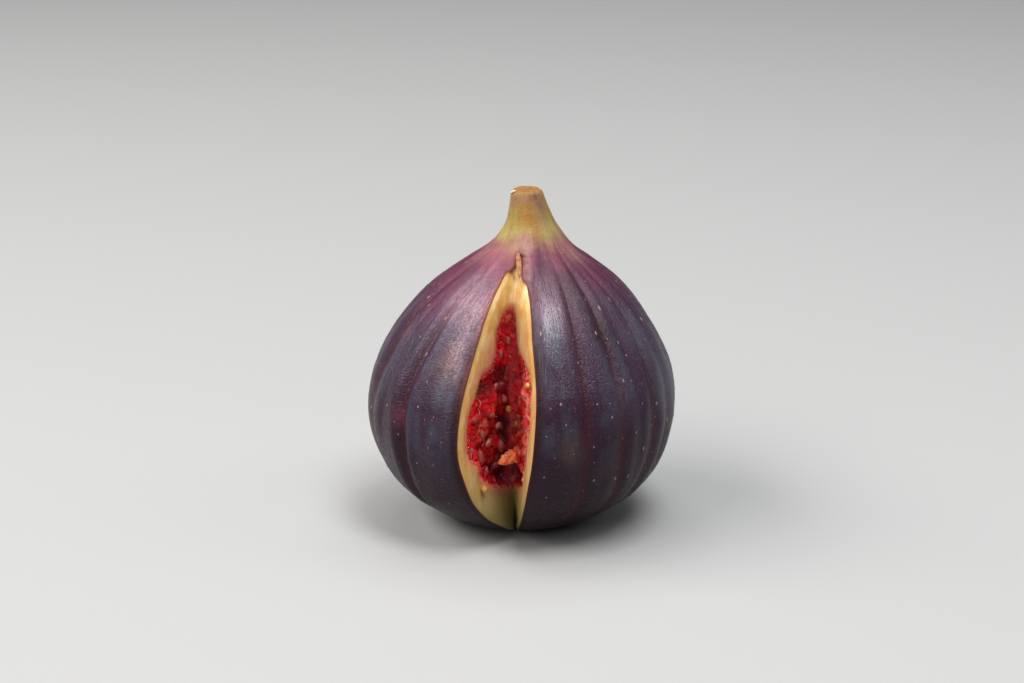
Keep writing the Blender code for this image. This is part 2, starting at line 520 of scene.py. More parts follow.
class CutFaces:
    """Places points on the slit's two cut faces.

    A point on a face is its distance from the knife line towards the skin, its height, and its lift off the
    face into the open slit.
    """

    LANE = 40.0
    POOL = 12000
    FIELD = ((0.2, 15.5), (8.5, 39.0))

    def __init__(self, form: FigForm) -> None:
        """Keep the form, and draw both flesh borders."""
        self.form = form
        self.noise = Noise(23)
        self.borders = dict(zip(Side, (smooth_path(form.left_flesh, 8), smooth_path(form.right_flesh, 8))))

    def rim(self, side: Side, height: Array) -> Array:
        """Find the smooth outline's point on the slit's edge.

        Args:
            side: The face.
            height: Heights.

        Returns:
            Its (x, y) at each height.
        """
        keys = self.form.left_edge if side is Side.LEFT else self.form.right_edge
        around = np.radians(keyed(keys, height))
        reach = self.form.radius_at(height)
        x = self.form.lean_at(height) + reach * np.sin(around)
        return np.stack([x, -reach * np.cos(around)], axis=-1)

    def length(self, side: Side, height: Array) -> Array:
        """How deep the face is at each height, from the knife line to the skin."""
        return np.linalg.norm(self.rim(side, height) - self.form.knife_at(height), axis=-1)

    def along(self, side: Side, height: Array) -> Array:
        """The direction (x, y) along the face to the skin, at each height."""
        return unit(self.rim(side, height) - self.form.knife_at(height))

    def middle(self, height: Array) -> Array:
        """The direction (x, y) from the knife line out through the middle of the slit, at each height."""
        return unit(self.along(Side.LEFT, height) + self.along(Side.RIGHT, height))

    def valley(self, out: Array, height: Array) -> Array:
        """Round off the bottom of the slit.

        Args:
            out: Distances from the knife line.
            height: Heights.

        Returns:
            How far each point moves out of the sharp corner, as (x, y).
        """
        shallow = np.minimum(self.length(Side.LEFT, height), self.length(Side.RIGHT, height))
        size = np.minimum(keyed(self.form.valley_round, height), 0.35 * shallow)
        return self.middle(height) * (np.sqrt(out**2 + size**2) - out)[..., None]

    def layers(self, spots: Sequence[FaceSpot], side: Side, out: Array, height: Array) -> Array:
        """How strong each of one side's spots is at each point, after a first layer of zeros."""
        return np.stack([np.zeros_like(out), *(spot.at(out, height) for spot in spots if spot.side is side)])

    def relief(self, side: Side, out: Array, height: Array, deep: Array) -> Array:
        """How far a face stands off its plane: swollen rind, and flesh sunk behind it.

        Args:
            side: The face.
            out: Distances from the knife line towards the skin.
            height: Heights.
            deep: Depths under the skin.

        Returns:
            The lift at each point.
        """
        flesh = self.into_flesh(side, out, height)
        lane = self.LANE * side.value
        streak = self.noise.on_grid(out, height * 0.15, lane, 0.9)
        lumps = 0.32 * self.noise.on_grid(out, height, lane, 2.2)
        lumps += 0.18 * self.noise.on_grid(out, height, lane, 0.9)
        rind = 0.34 * smoothstep(0.0, 1.6, deep) * smoothstep(0.3, -1.6, flesh)
        rind += 0.06 * streak * smoothstep(0.2, 0.8, deep)
        sunk = -0.95 * smoothstep(-0.3, 1.8, flesh) + lumps * smoothstep(-0.2, 1.2, flesh)
        sunk -= self.layers(HOLLOWS, side, out, height).sum(axis=0)
        reach = 1.2 + 4.5 * smoothstep(38.5, 40.5, height)
        return (rind + sunk) * smoothstep(0.0, reach, out) * smoothstep(0.0, 0.5, deep)

    def place(self, side: Side, out: Array, height: Array, lift: Array | float) -> Array:
        """Place points on a face.

        Args:
            side: The face.
            out: Distances from the knife line towards the skin.
            height: Heights.
            lift: Distances off the face into the slit.

        Returns:
            Points in space, one row of three each.
        """
        out, height, lift = np.broadcast_arrays(*(np.asarray(v, float) for v in (out, height, lift)))
        along = self.along(side, height)
        off = side.value * np.stack([along[..., 1], -along[..., 0]], axis=-1)
        flat = self.form.knife_at(height) + along * out[..., None] + off * lift[..., None]
        return np.concatenate([flat + self.valley(out, height), height[..., None]], axis=-1)

    def on_bed(self, side: Side, out: Array, height: Array, lift: Array | float) -> Array:
        """Place points at a distance off the face's own relief.

        Args:
            side: The face.
            out: Distances from the knife line towards the skin.
            height: Heights.
            lift: Distances off the relief into the slit.

        Returns:
            Points in space, one row of three each.
        """
        out, height, lift = np.broadcast_arrays(*(np.asarray(v, float) for v in (out, height, lift)))
        deep = self.length(side, height) - out
        return self.place(side, out, height, lift + self.relief(side, out, height, deep))

    def into_flesh(self, side: Side, out: Array, height: Array) -> Array:
        """Measure how far points lie inside the flesh's border.

        Args:
            side: The face.
            out: Distances from the knife line.
            height: Heights.

        Returns:
            The distances, which are negative in the rind.
        """
        border = self.borders[side]
        points = np.stack([np.ravel(out), np.ravel(height)], axis=1)
        start, run = border[:-1, ::-1], np.diff(border[:, ::-1], axis=0)
        away = points[:, None] - start[None]
        t = np.clip((away * run).sum(axis=2) / np.maximum((run * run).sum(axis=1), 1e-9), 0.0, 1.0)
        nearest = np.linalg.norm(away - t[..., None] * run, axis=2).min(axis=1)
        edge = np.interp(points[:, 1], border[:, 0], border[:, 1], left=-1.0, right=-1.0)
        return np.where(points[:, 0] < edge, nearest, -nearest).reshape(np.shape(out))

    def scatter(
        self, side: Side, rng: np.random.Generator, count: int, inside: float, gap: float,
        taken: Sequence[tuple[float, float]] = (),
    ) -> list[Array]:
        """Choose places on the flesh that keep apart from each other.

        Args:
            side: The face.
            rng: The source of chance.
            count: The most places to choose.
            inside: The least distance inside the flesh's border.
            gap: The least distance between two places.
            taken: Places that are in use already.

        Returns:
            The (out, height) places.
        """
        pool = np.column_stack([rng.uniform(low, high, self.POOL) for low, high in self.FIELD])
        pool = pool[self.into_flesh(side, pool[:, 0], pool[:, 1]) > inside]
        kept = [np.array(spot) for spot in taken]
        for spot in pool:
            if len(kept) - len(taken) == count:
                break
            if not kept or np.min(np.linalg.norm(np.array(kept) - spot, axis=1)) >= gap:
                kept.append(spot)
        return kept[len(taken):]


class BoxFit:
    """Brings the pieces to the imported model's box, which the body's relief misses by a few hundredths."""

    def __init__(self, body: Array) -> None:
        """Measure the body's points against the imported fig's box."""
        self.low, self.high = (np.array(corner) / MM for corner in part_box("fig"))
        own_low, own_high = body.min(axis=0), body.max(axis=0)
        self.scale = (self.high - self.low) / (own_high - own_low)
        self.shift = self.low - own_low * self.scale
        LOG.info("box fit: scale %s, shift %s", self.scale.round(4), self.shift.round(3))

    def apply(self, points: Array) -> Array:
        """Move points in millimetres with the body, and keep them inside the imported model's box."""
        return np.clip(points * self.scale + self.shift, self.low, self.high)


def cells(grid: Array) -> Array:
    """The four corners of each cell of a grid, cell by cell: its point numbers, or its places."""
    corners = np.stack([grid[:-1, :-1], grid[:-1, 1:], grid[1:, 1:], grid[1:, :-1]], axis=2)
    return corners.reshape(-1, *corners.shape[2:])


def slab(grid: Array, over: Array, rims: Sequence[Array]) -> Array:
    """The cells of a closed slab: a grid, one over it that is turned about, and the rims between them."""
    return np.concatenate([cells(grid), cells(over)[:, ::-1], *(cells(rim) for rim in rims)])


def slab_faces(rows: int, columns: int) -> Faces:
    """Join two grids of points, one after the other, into a closed slab.

    Args:
        rows: Each grid's rows.
        columns: Each grid's columns.

    Returns:
        The slab's faces.
    """
    grid = np.arange(rows * columns).reshape(rows, columns)
    edges = (grid[0, ::-1], grid[:, 0], grid[-1], grid[::-1, -1])
    rims = [np.stack([edge, edge + grid.size]) for edge in edges]
    return [tuple(face) for face in slab(grid, grid + grid.size, rims).tolist()]


def closed_rings(rows: int, around: int) -> Array:
    """The point numbers of rings one after the other, each with its first point again at its end."""
    rings = np.arange(rows * around).reshape(rows, around)
    return np.column_stack([rings, rings[:, 0]])


def put(name: str, data: bpy.types.ID) -> bpy.types.Object:
    """Put an object into the scene.

    Args:
        name: Its name.
        data: Its mesh, light or camera.

    Returns:
        The object.
    """
    made = bpy.data.objects.new(name, data)
    bpy.context.scene.collection.objects.link(made)
    return made


def even_marks(count: int, **values: float) -> dict[str, Array]:
    """Marks that are the same at each of a number of points."""
    return {name: np.full(count, value) for name, value in values.items()}


@dataclass
class Shape:
    """A mesh in the making, in millimetres.

    Attributes:
        points: One row of three a vertex.
        faces: Corner numbers of each face.
        marks: Named values a vertex: one number, or a row of three.
        slots: The material slot of each face, if there is more than one.
        map: One (u, v) a face corner, if the piece brings its own bake map.
    """

    points: Array
    faces: Faces
    marks: dict[str, Array] = field(default_factory=dict)
    slots: Array | None = None
    map: Array | None = None

    @staticmethod
    def joined(shapes: Sequence["Shape"]) -> "Shape":
        """Join shapes that carry the same marks.

        Args:
            shapes: The shapes.

        Returns:
            One shape.
        """
        start = np.cumsum([0] + [len(s.points) for s in shapes])
        faces = [tuple(c + int(b) for c in f) for s, b in zip(shapes, start) for f in s.faces]
        marks = {name: np.concatenate([s.marks[name] for s in shapes]) for name in shapes[0].marks}
        return Shape(np.vstack([s.points for s in shapes]), faces, marks)

    def mesh(self, name: str, fit: BoxFit) -> bpy.types.Mesh:
        """Turn the shape into a smooth-shaded mesh.

        Args:
            name: The mesh's name.
            fit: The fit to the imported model's box.

        Returns:
            The mesh, with its marks and its bake map, and without materials.
        """
        mesh = bpy.data.meshes.new(name)
        mesh.from_pydata((fit.apply(self.points) * MM).tolist(), [], self.faces)
        for key, values in self.marks.items():
            kind, into = ("FLOAT_VECTOR", "vector") if values.ndim == 2 else ("FLOAT", "value")
            layer = mesh.attributes.new(key, kind, "POINT")
            layer.data.foreach_set(into, values.astype(np.float32).ravel())
        if self.map is not None:
            mesh.uv_layers.new(name="OFBake").uv.foreach_set("vector", self.map.astype(np.float32).ravel())
        if self.slots is not None:
            mesh.polygons.foreach_set("material_index", self.slots.astype(np.int32))
        mesh.shade_smooth()
        return mesh

    def make(self, name: str, fit: BoxFit, slot: str, *materials: Material) -> bpy.types.Object:
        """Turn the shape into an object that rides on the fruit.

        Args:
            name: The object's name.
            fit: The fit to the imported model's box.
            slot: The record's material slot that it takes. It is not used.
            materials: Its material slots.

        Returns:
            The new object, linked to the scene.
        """
        mesh = self.mesh(name, fit)
        for material in materials:
            mesh.materials.append(material)
        mesh.validate()
        piece = put(name, mesh)
        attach(piece, "root")
        LOG.info("%s: %d triangles", name, sum(len(face) - 2 for face in self.faces))
        return piece


@lru_cache(maxsize=4)
def ball(level: int) -> tuple[Array, Faces]:
    """Make a unit ball of triangles.

    Args:
        level: How many times an icosahedron's faces are split.

    Returns:
        Its points and its faces.
    """
    g = (1.0 + 5.0**0.5) / 2.0
    points = [(-1, g, 0), (1, g, 0), (-1, -g, 0), (1, -g, 0), (0, -1, g), (0, 1, g)]
    points += [(0, -1, -g), (0, 1, -g), (g, 0, -1), (g, 0, 1), (-g, 0, -1), (-g, 0, 1)]
    faces = [(0, 11, 5), (0, 5, 1), (0, 1, 7), (0, 7, 10), (0, 10, 11), (1, 5, 9), (5, 11, 4), (11, 10, 2)]
    faces += [(10, 7, 6), (7, 1, 8), (3, 9, 4), (3, 4, 2), (3, 2, 6), (3, 6, 8), (3, 8, 9), (4, 9, 5)]
    faces += [(2, 4, 11), (6, 2, 10), (8, 6, 7), (9, 8, 1)]
    points = [np.array(p, float) / np.linalg.norm(p) for p in points]
    for _ in range(level):
        middles: dict[tuple[int, int], int] = {}
        split = []
        for a, b, c in faces:
            corners = []
            for i, j in ((a, b), (b, c), (c, a)):
                key = (min(i, j), max(i, j))
                if key not in middles:
                    middles[key] = len(points)
                    points.append(unit(points[i] + points[j]))
                corners.append(middles[key])
            d, e, f = corners
            split += [(a, d, f), (b, e, d), (c, f, e), (d, e, f)]
        faces = split
    return np.array(points), faces


def tube(path: Array, radii: Array, sides: int) -> tuple[Array, Faces]:
    """Make a closed tube along a path.

    Args:
        path: The centre line's points.
        radii: The radius at each of them.
        sides: How many sides the tube has.

    Returns:
        Its points and its faces, with a fan at each end.
    """
    run = unit(np.gradient(path, axis=0))
    across = unit(np.cross(run, np.array([0.31, 0.17, 0.93])))
    other = np.cross(run, across)
    turn = np.linspace(0.0, 2.0 * np.pi, sides, endpoint=False)
    ring = across[:, None] * np.cos(turn)[None, :, None] + other[:, None] * np.sin(turn)[None, :, None]
    skin = (path[:, None] + ring * radii[:, None, None]).reshape(-1, 3)
    points = np.vstack([skin, path[0] - run[0] * radii[0] * 0.6, path[-1] + run[-1] * radii[-1] * 0.6])
    rings = closed_rings(len(path), sides)
    faces = [tuple(face) for face in cells(rings).tolist()]
    faces += [(len(skin), int(k), int(j)) for j, k in zip(rings[0], rings[0, 1:])]
    faces += [(len(skin) + 1, int(j), int(k)) for j, k in zip(rings[-1], rings[-1, 1:])]
    return points, faces


class Sketch:
    """A short way to draw a material's nodes round one Principled shader."""

    def __init__(self, name: str) -> None:
        """Start a material that holds the shader and nothing else."""
        self.material = bpy.data.materials.new(name)
        self.material.use_nodes = True
        self.tree = self.material.node_tree
        self.shader = self.tree.nodes["Principled BSDF"]

    def plug(self, socket: Socket, value: object) -> None:
        """Fill a socket.

        Args:
            socket: The socket.
            value: An output, which is linked to it, or a number or colour, which is set on it.
        """
        if isinstance(value, bpy.types.NodeSocket):
            self.tree.links.new(value, socket)
        elif isinstance(value, tuple) and len(value) == 3 and socket.type == "RGBA":
            socket.default_value = (*value, 1.0)
        else:
            socket.default_value = value

    def node(
        self, kind: str, inputs: dict[str | int, object], output: str | int = 0, **settings: object,
    ) -> Socket:
        """Add a node.

        Args:
            kind: The node's kind.
            inputs: What fills its inputs, by their name or number.
            output: The output that is wanted, by its name or number.
            settings: The node's own settings.

        Returns:
            That output.
        """
        made = self.tree.nodes.new(kind)
        for key, value in settings.items():
            setattr(made, key, value)
        for key, value in inputs.items():
            self.plug(made.inputs[key], value)
        return made.outputs[output]

    def mark(self, name: str, output: str = "Fac") -> Socket:
        """Read a mark that the mesh carries."""
        return self.node("ShaderNodeAttribute", {}, output, attribute_name=name)

    def place(self) -> Socket:
        """The point's own place on the fruit, in metres."""
        return self.node("ShaderNodeTexCoord", {}, "Object")

    def height(self) -> Socket:
        """The point's height, in millimetres."""
        return self.times(self.node("ShaderNodeSeparateXYZ", {0: self.place()}, "Z"), 1.0 / MM)

    def sum(self, operation: str, a: object, b: object, clamp: bool = False) -> Socket:
        """Join two values with a maths operation."""
        return self.node("ShaderNodeMath", {0: a, 1: b}, operation=operation, use_clamp=clamp)

    def times(self, *values: object) -> Socket:
        """Multiply values, from the first to the last."""
        return reduce(lambda a, b: self.sum("MULTIPLY", a, b), values)

    def plus(self, *values: object) -> Socket:
        """Add values, from the first to the last."""
        return reduce(lambda a, b: self.sum("ADD", a, b), values)

    def stretch(self, vector: Socket, by: Colour) -> Socket:
        """Stretch a coordinate along its three axes."""
        return self.node("ShaderNodeVectorMath", {0: vector, 1: by}, operation="MULTIPLY")

    def noise(
        self, vector: Socket, scale: float, detail: float = 3.0, rough: float = 0.5, twist: float = 0.0,
    ) -> Socket:
        """Noise from 0 to 1."""
        inputs = {"Vector": vector, "Scale": scale, "Detail": detail, "Roughness": rough, "Distortion": twist}
        return self.node("ShaderNodeTexNoise", inputs, "Fac")

    def span(
        self, value: Socket, low: float, high: float, to_low: float = 0.0, to_high: float = 1.0,
    ) -> Socket:
        """Ease a value's span to another span."""
        inputs = {"Value": value, "From Min": low, "From Max": high, "To Min": to_low, "To Max": to_high}
        return self.node("ShaderNodeMapRange", inputs, "Result", interpolation_type="SMOOTHSTEP")

    def ramp(self, value: Socket, stops: Sequence[tuple[float, Colour]]) -> Socket:
        """Turn a value into a colour.

        Args:
            value: The value.
            stops: The ramp's (place, colour), in order.

        Returns:
            The colour.
        """
        made = self.tree.nodes.new("ShaderNodeValToRGB")
        elements = made.color_ramp.elements
        while len(elements) < len(stops):
            elements.new(1.0)
        for element, (place, _) in zip(elements, stops):
            element.position = place
        for element, (_, colour) in zip(elements, stops):
            element.color = (*colour, 1.0)
        self.plug(made.inputs["Fac"], value)
        return made.outputs["Color"]

    def mix(self, share: Socket, a: object, b: object) -> Socket:
        """Mix two colours."""
        return self.node("ShaderNodeMix", {"Factor": share, 6: a, 7: b}, 2, data_type="RGBA")

    def over(self, colour: Socket, *coats: tuple) -> Socket:
        """Lay coats of colour over a colour.

        Args:
            colour: The colour under them.
            coats: Each coat's colour, and then the shares whose product is its strength.

        Returns:
            The colour on top.
        """
        for tint, *shares in coats:
            colour = self.mix(self.times(*shares), colour, tint)
        return colour

    def bump(self, height: Socket, distance: float, under: Socket | None = None) -> Socket:
        """Turn a height from 0 to 1 into a bump of that many metres, over another bump."""
        inputs = {"Strength": 1.0, "Distance": distance, "Height": height}
        return self.node("ShaderNodeBump", inputs | ({} if under is None else {"Normal": under}), "Normal")

    def finish(self, **sockets: object) -> Material:
        """Fill the shader's sockets by name, with _ for each space, and return the material."""
        for key, value in sockets.items():
            self.plug(self.shader.inputs[key.replace("_", " ")], value)
        return self.material


@dataclass(frozen=True)
class SkinFinish:
    """Ripe skin: dark violet ribs with a dusty bloom, wine-red furrows, pink shoulders, a green-gold neck."""

    sole: Colour = (0.05, 0.013, 0.026)
    # From the underside up to the high band the skin grows lighter: partly its own darker base, partly painted
    # shade low on the body.
    underside: Colour = (0.008, 0.002, 0.005)
    low: Colour = (0.013, 0.003, 0.01)
    middle: Colour = (0.026, 0.006, 0.02)
    high: Colour = (0.046, 0.016, 0.04)
    shoulder: Colour = (0.088, 0.017, 0.043)
    collar: Colour = (0.23, 0.07, 0.085)
    neck: Colour = (0.36, 0.27, 0.09)
    stem: Colour = (0.33, 0.22, 0.065)
    bloom: Colour = (0.038, 0.046, 0.07)
    furrow: Colour = (0.038, 0.005, 0.012)
    fold: Colour = (0.06, 0.011, 0.028)
    speck: Colour = (0.2, 0.11, 0.095)
    edge: Colour = (0.04, 0.004, 0.006)
    # Painted shade: near-black on the skin that curls into the slit.
    lip_shade: Colour = (0.014, 0.001, 0.005)
    flesh_edge: Colour = (0.12, 0.022, 0.014)
    # Red-pink by the left rim: partly the skin's own colour, partly painted sheen on the rolled edge of the
    # slit.
    flush: Colour = (0.3, 0.05, 0.06)
    # Painted sheen: pale lavender where the skin's sheen is brightest.
    dust: Colour = (0.44, 0.25, 0.31)
    end_grain: Colour = (0.33, 0.165, 0.042)
    end_fibre: Colour = (0.24, 0.1, 0.03)
    tints: tuple[tuple[str, Colour], ...] = (
        # The third tint, pale pink on collar and stem, is partly painted highlight.
        ("green", (0.29, 0.29, 0.045)), ("ochre", (0.37, 0.16, 0.026)), ("haze", (0.38, 0.21, 0.175)),
        # The dark purple tint here is partly painted shade on the right shoulder by the slit.
        ("mauve", (0.24, 0.08, 0.085)), ("blush", (0.23, 0.04, 0.085)), ("plum", (0.06, 0.013, 0.034)),
        # The blue-grey tint is painted sheen on the flanks.
        # The near-black tint is dark blotches, and painted shade on the right shoulder.
        ("scuff", (0.012, 0.007, 0.007)), ("gold", (0.21, 0.11, 0.06)), ("slate", (0.075, 0.072, 0.1)),
    )

    def material(self) -> Material:
        """Build the material, which reads the marks of the skin's mesh."""
        s = Sketch("fig_skin")
        place, height, around = s.place(), s.height(), s.mark("meridian", "Vector")
        broad = s.noise(around, 3.2, 2.0)
        streak = s.noise(s.stretch(around, (1.0, 1.0, 0.16)), 17.0, 4.0, 0.6)
        hair = s.noise(s.stretch(around, (1.0, 1.0, 0.1)), 60.0, 3.0, 0.6)
        flake = s.noise(s.stretch(around, (1.0, 1.0, 0.34)), 46.0, 4.0, 0.7, 0.5)
        cloud = s.noise(place, 150.0, 4.0, 0.6)
        mottle = s.noise(place, 900.0, 4.0, 0.65)
        grain = s.noise(place, 2200.0, 3.0, 0.6)
        speckle = s.noise(place, 2300.0, 2.0)
        marks = ("crease", "rim", "rubbed", "crinkle", "flush")
        crease, rim, rubbed, crinkle, flush = (s.mark(name) for name in marks)
        shifted = s.plus(
            height, s.span(streak, 0.25, 0.75, -0.45, 0.45), s.span(broad, 0.3, 0.7, -0.7, 0.7),
            s.span(cloud, 0.3, 0.7, -0.9, 0.9),
        )
        # Darker towards the bottom: partly the fig's own colour, partly painted shade.
        stops = (
            (0.0, self.sole), (0.05, self.underside), (0.17, self.low), (0.42, self.middle),
            (0.63, self.high), (0.79, self.shoulder), (0.842, self.collar), (0.884, self.neck),
            (0.94, self.stem),
        )
        colour = s.ramp(s.sum("DIVIDE", shifted, STEM_TOP), stops)
        dusty = s.times(
            s.span(crease, 0.45, 0.0), s.span(height, 10.0, 24.0), s.span(height, 45.0, 39.0),
            s.span(cloud, 0.36, 0.6), s.span(streak, 0.34, 0.62, 0.2, 1.0),
        )
        fold = s.mix(s.span(height, 37.0, 44.0), self.furrow, self.fold)
        patch = s.times(s.span(mottle, 0.35, 0.6, 0.4, 1.0), s.span(streak, 0.3, 0.55, 0.85, 1.0))
        edge = s.mix(s.span(height, 36.0, 44.0), self.edge, self.flesh_edge)
        end = s.mix(s.span(grain, 0.35, 0.65), self.end_grain, self.end_fibre)
        colour = s.over(
            colour,
            (self.bloom, dusty, 0.7),
            (fold, s.span(crease, 0.25, 0.9), s.span(height, 50.0, 44.0), 0.85),
            *((tint, s.mark(name), patch) for name, tint in self.tints),
            # Painted sheen: pale lavender patches, broken up by streaks and mottle.
            (
                self.dust, s.mark("dust"), s.span(flake, 0.36, 0.62, 0.35, 1.0),
                s.span(mottle, 0.3, 0.55, 0.7, 1.0),
            ),
            (
                self.underside, s.span(mottle, 0.5, 0.66), s.span(cloud, 0.62, 0.42),
                s.span(height, 46.0, 42.0), 0.45,
            ),
            (self.underside, s.span(hair, 0.35, 0.75, 0.0, 0.16)),
            (self.speck, s.span(speckle, 0.62, 0.74), s.span(height, 50.0, 40.0), 0.3),
            # Painted shade on the skin that curls into the slit, below 38.5 mm.
            (self.lip_shade, s.span(rim, 2.4, 0.3), s.span(height, 38.5, 33.0, 0.0, 0.9)),
            # Red-pink by the left rim, partly painted sheen on the rolled edge.
            (self.flush, s.span(rim, 1.1, 0.3), flush, s.span(mottle, 0.36, 0.56, 0.2, 0.8)),
            (edge, s.span(rim, 0.36, 0.14, 0.0, 0.95)),
            (end, s.mark("stub")),
        )
        on_neck = s.span(height, 43.5, 48.0)
        rough = s.plus(
            s.span(mottle, 0.3, 0.7, 0.3, 0.42), s.times(dusty, 0.1), s.times(crinkle, -0.12),
            s.times(rubbed, -0.18), s.times(on_neck, 0.16),
        )
        gloss = s.plus(
            s.times(rubbed, 0.8), s.times(on_neck, -0.12), s.times(crinkle, 0.75),
            s.span(height, 16.0, 34.0, 0.0, 0.17),
        )
        open_lip = s.sum("MAXIMUM", s.span(rim, 1.0, 2.3, 0.1, 1.0), flush)
        wrinkle = s.noise(s.stretch(place, (1.0, 1.0, 1.9)), 1500.0, 3.0, 0.62, 0.8)
        calm = s.plus(s.span(rubbed, 0.0, 0.6, 0.3, 0.03), s.times(crinkle, 0.6))
        normal = s.bump(s.times(wrinkle, calm), 0.00045)
        normal = s.bump(hair, 0.0001, normal)
        normal = s.bump(s.noise(place, 3600.0, 2.0), 0.00005, normal)
        return s.finish(
            Base_Color=colour, Roughness=rough, Normal=normal,
            Coat_Weight=s.sum("MULTIPLY", gloss, open_lip, clamp=True), Coat_Roughness=0.14,
            Coat_Normal=normal, Specular_IOR_Level=0.2,
            Subsurface_Weight=0.04, Subsurface_Radius=(0.9, 0.25, 0.2), Subsurface_Scale=0.0008,
        )


@dataclass(frozen=True)
class CutFinish:
    """The cut faces: a thin dark skin line, moist cream rind with ochre strands, a pink border, red flesh."""

    skin: Colour = (0.08, 0.014, 0.012)
    outer: Colour = (0.62, 0.375, 0.1)
    cream: Colour = (0.73, 0.51, 0.205)
    white: Colour = (0.77, 0.6, 0.35)
    ochre: Colour = (0.52, 0.225, 0.038)
    tan: Colour = (0.58, 0.29, 0.19)
    pink: Colour = (0.76, 0.19, 0.14)
    red: Colour = (0.48, 0.01, 0.018)
    dark: Colour = (0.2, 0.002, 0.007)
    # Painted shade: dark greenish brown over the rind towards the bottom of the slit.
    olive_shade: Colour = (0.2, 0.165, 0.052)
    # Painted shade: dark red-brown in the gap at the top of the slit.
    gap_shade: Colour = (0.2, 0.034, 0.014)
    orange: Colour = (0.66, 0.19, 0.04)

    def material(self) -> Material:
        """Build the material, which reads the marks of the cut faces."""
        s = Sketch("fig_cut")
        place, height, cut = s.place(), s.height(), s.mark("cut", "Vector")
        deep, tan_spot = s.mark("deep"), s.mark("tan_spot")
        strands = s.noise(s.stretch(cut, (1.0, 0.1, 1.0)), 0.95, 4.0, 0.6, 0.3)
        fine = s.noise(s.stretch(cut, (1.0, 0.16, 1.0)), 4.5, 3.0, 0.6)
        cloud = s.noise(cut, 0.35, 3.0, 0.55)
        lumps = s.noise(cut, 1.4, 4.0, 0.6)
        inside = s.plus(s.mark("flesh"), s.span(lumps, 0.25, 0.75, -0.75, 0.75))
        colour = s.over(
            s.mix(s.span(strands, 0.36, 0.62), self.cream, self.outer),
            (self.white, s.span(cloud, 0.47, 0.68, 0.0, 0.75)),
            (self.outer, s.span(deep, 1.5, 0.3, 0.0, 0.75)),
            (self.ochre, s.span(fine, 0.48, 0.66), s.span(inside, -4.6, -1.2), 0.8),
            (self.tan, s.span(inside, -2.0, -0.5), s.span(cloud, 0.35, 0.6, 0.3, 0.95)),
            (self.tan, tan_spot, s.span(lumps, 0.3, 0.6, 0.6, 1.0)),
            (self.ochre, s.mark("ochre_spot"), s.span(fine, 0.35, 0.6, 0.5, 1.0)),
            (self.orange, s.mark("orange_spot"), 0.8),
            (self.white, s.mark("white_spot"), s.span(fine, 0.7, 0.4, 0.4, 0.9)),
            # Painted shade: the rind darkens towards the bottom of the slit.
            (self.olive_shade, s.span(height, 19.0, 2.0), 0.95),
            (self.pink, s.span(inside, -1.1, 0.05)),
            (self.red, s.span(inside, -0.1, 0.7)),
            (self.dark, s.span(inside, 0.6, 3.2, 0.0, 0.85)),
            # Painted shade in the gap at the top of the slit.
            (self.gap_shade, s.mark("bruise_spot")),
            (self.ochre, tan_spot, s.span(s.noise(cut, 2.6, 2.0), 0.62, 0.7), 0.8),
            (self.skin, s.span(deep, 0.34, 0.18)),
        )
        normal = s.bump(s.noise(place, 2600.0, 3.0, 0.6), 0.0001, s.bump(fine, 0.00014))
        return s.finish(
            Base_Color=colour, Roughness=s.span(inside, -0.6, 0.4, 0.36, 0.16), Normal=normal,
            Coat_Weight=0.25, Coat_Roughness=0.14,
            Subsurface_Weight=0.25, Subsurface_Radius=(1.0, 0.45, 0.2), Subsurface_Scale=0.0012,
        )


@dataclass(frozen=True)
class PulpFinish:
    """Wet red flesh, from pale pink at the rind to deep red inside."""

    name: str
    pale: Colour = (0.92, 0.3, 0.22)
    bright: Colour = (0.82, 0.01, 0.022)
    deep: Colour = (0.43, 0.002, 0.01)
    abyss: Colour = (0.09, 0.001, 0.004)
    orange: Colour = (0.84, 0.23, 0.06)
    seed: Colour = (0.27, 0.04, 0.025)

    def material(self) -> Material:
        """Build the material.

        Returns:
            The material. Its mark tone runs from 0, pale, to 1, deep; warm adds orange, and seed a drowned
            seed.
        """
        s = Sketch(self.name)
        place = s.place()
        cloud = s.noise(place, 1100.0, 3.0, 0.6)
        fine = s.noise(place, 2600.0, 3.0, 0.6)
        tone = s.plus(s.mark("tone"), s.span(cloud, 0.25, 0.75, -0.1, 0.1))
        tone = s.sum("ADD", tone, s.span(fine, 0.3, 0.7, -0.04, 0.04), clamp=True)
        colour = s.over(
            s.ramp(tone, ((0.0, self.pale), (0.28, self.bright), (0.6, self.deep), (1.0, self.abyss))),
            (self.orange, s.mark("warm")),
            (self.seed, s.mark("seed"), s.span(cloud, 0.3, 0.6, 0.3, 0.75)),
        )
        normal = s.bump(fine, 0.00026)
        return s.finish(
            Base_Color=colour, Roughness=s.span(cloud, 0.3, 0.7, 0.12, 0.24), Normal=normal,
            Coat_Weight=0.35, Coat_Roughness=0.06, Coat_Normal=normal, Specular_IOR_Level=0.36,
            Subsurface_Weight=0.55, Subsurface_Radius=(1.0, 0.07, 0.06), Subsurface_Scale=0.0013,
        )


@dataclass(frozen=True)
class SeedFinish:
    """Small hard seeds, tan where they show and red where the flesh clings to them."""

    name: str
    shell: Colour
    dark: Colour
    film: Colour = (0.34, 0.01, 0.014)

    def material(self) -> Material:
        """Build the material. The mark soak runs from 0, bare, to 1, covered in flesh."""
        s = Sketch(self.name)
        place = s.place()
        cloud = s.noise(place, 1500.0, 3.0, 0.6)
        colour = s.mix(s.span(cloud, 0.35, 0.65), self.shell, self.dark)
        return s.finish(
            Base_Color=s.over(colour, (self.film, s.mark("soak"))), Roughness=0.32,
            Normal=s.bump(s.noise(place, 5000.0, 2.0), 0.00004), Coat_Weight=0.15, Coat_Roughness=0.12,
            Subsurface_Weight=0.15, Subsurface_Radius=(1.0, 0.4, 0.15), Subsurface_Scale=0.0006,
        )


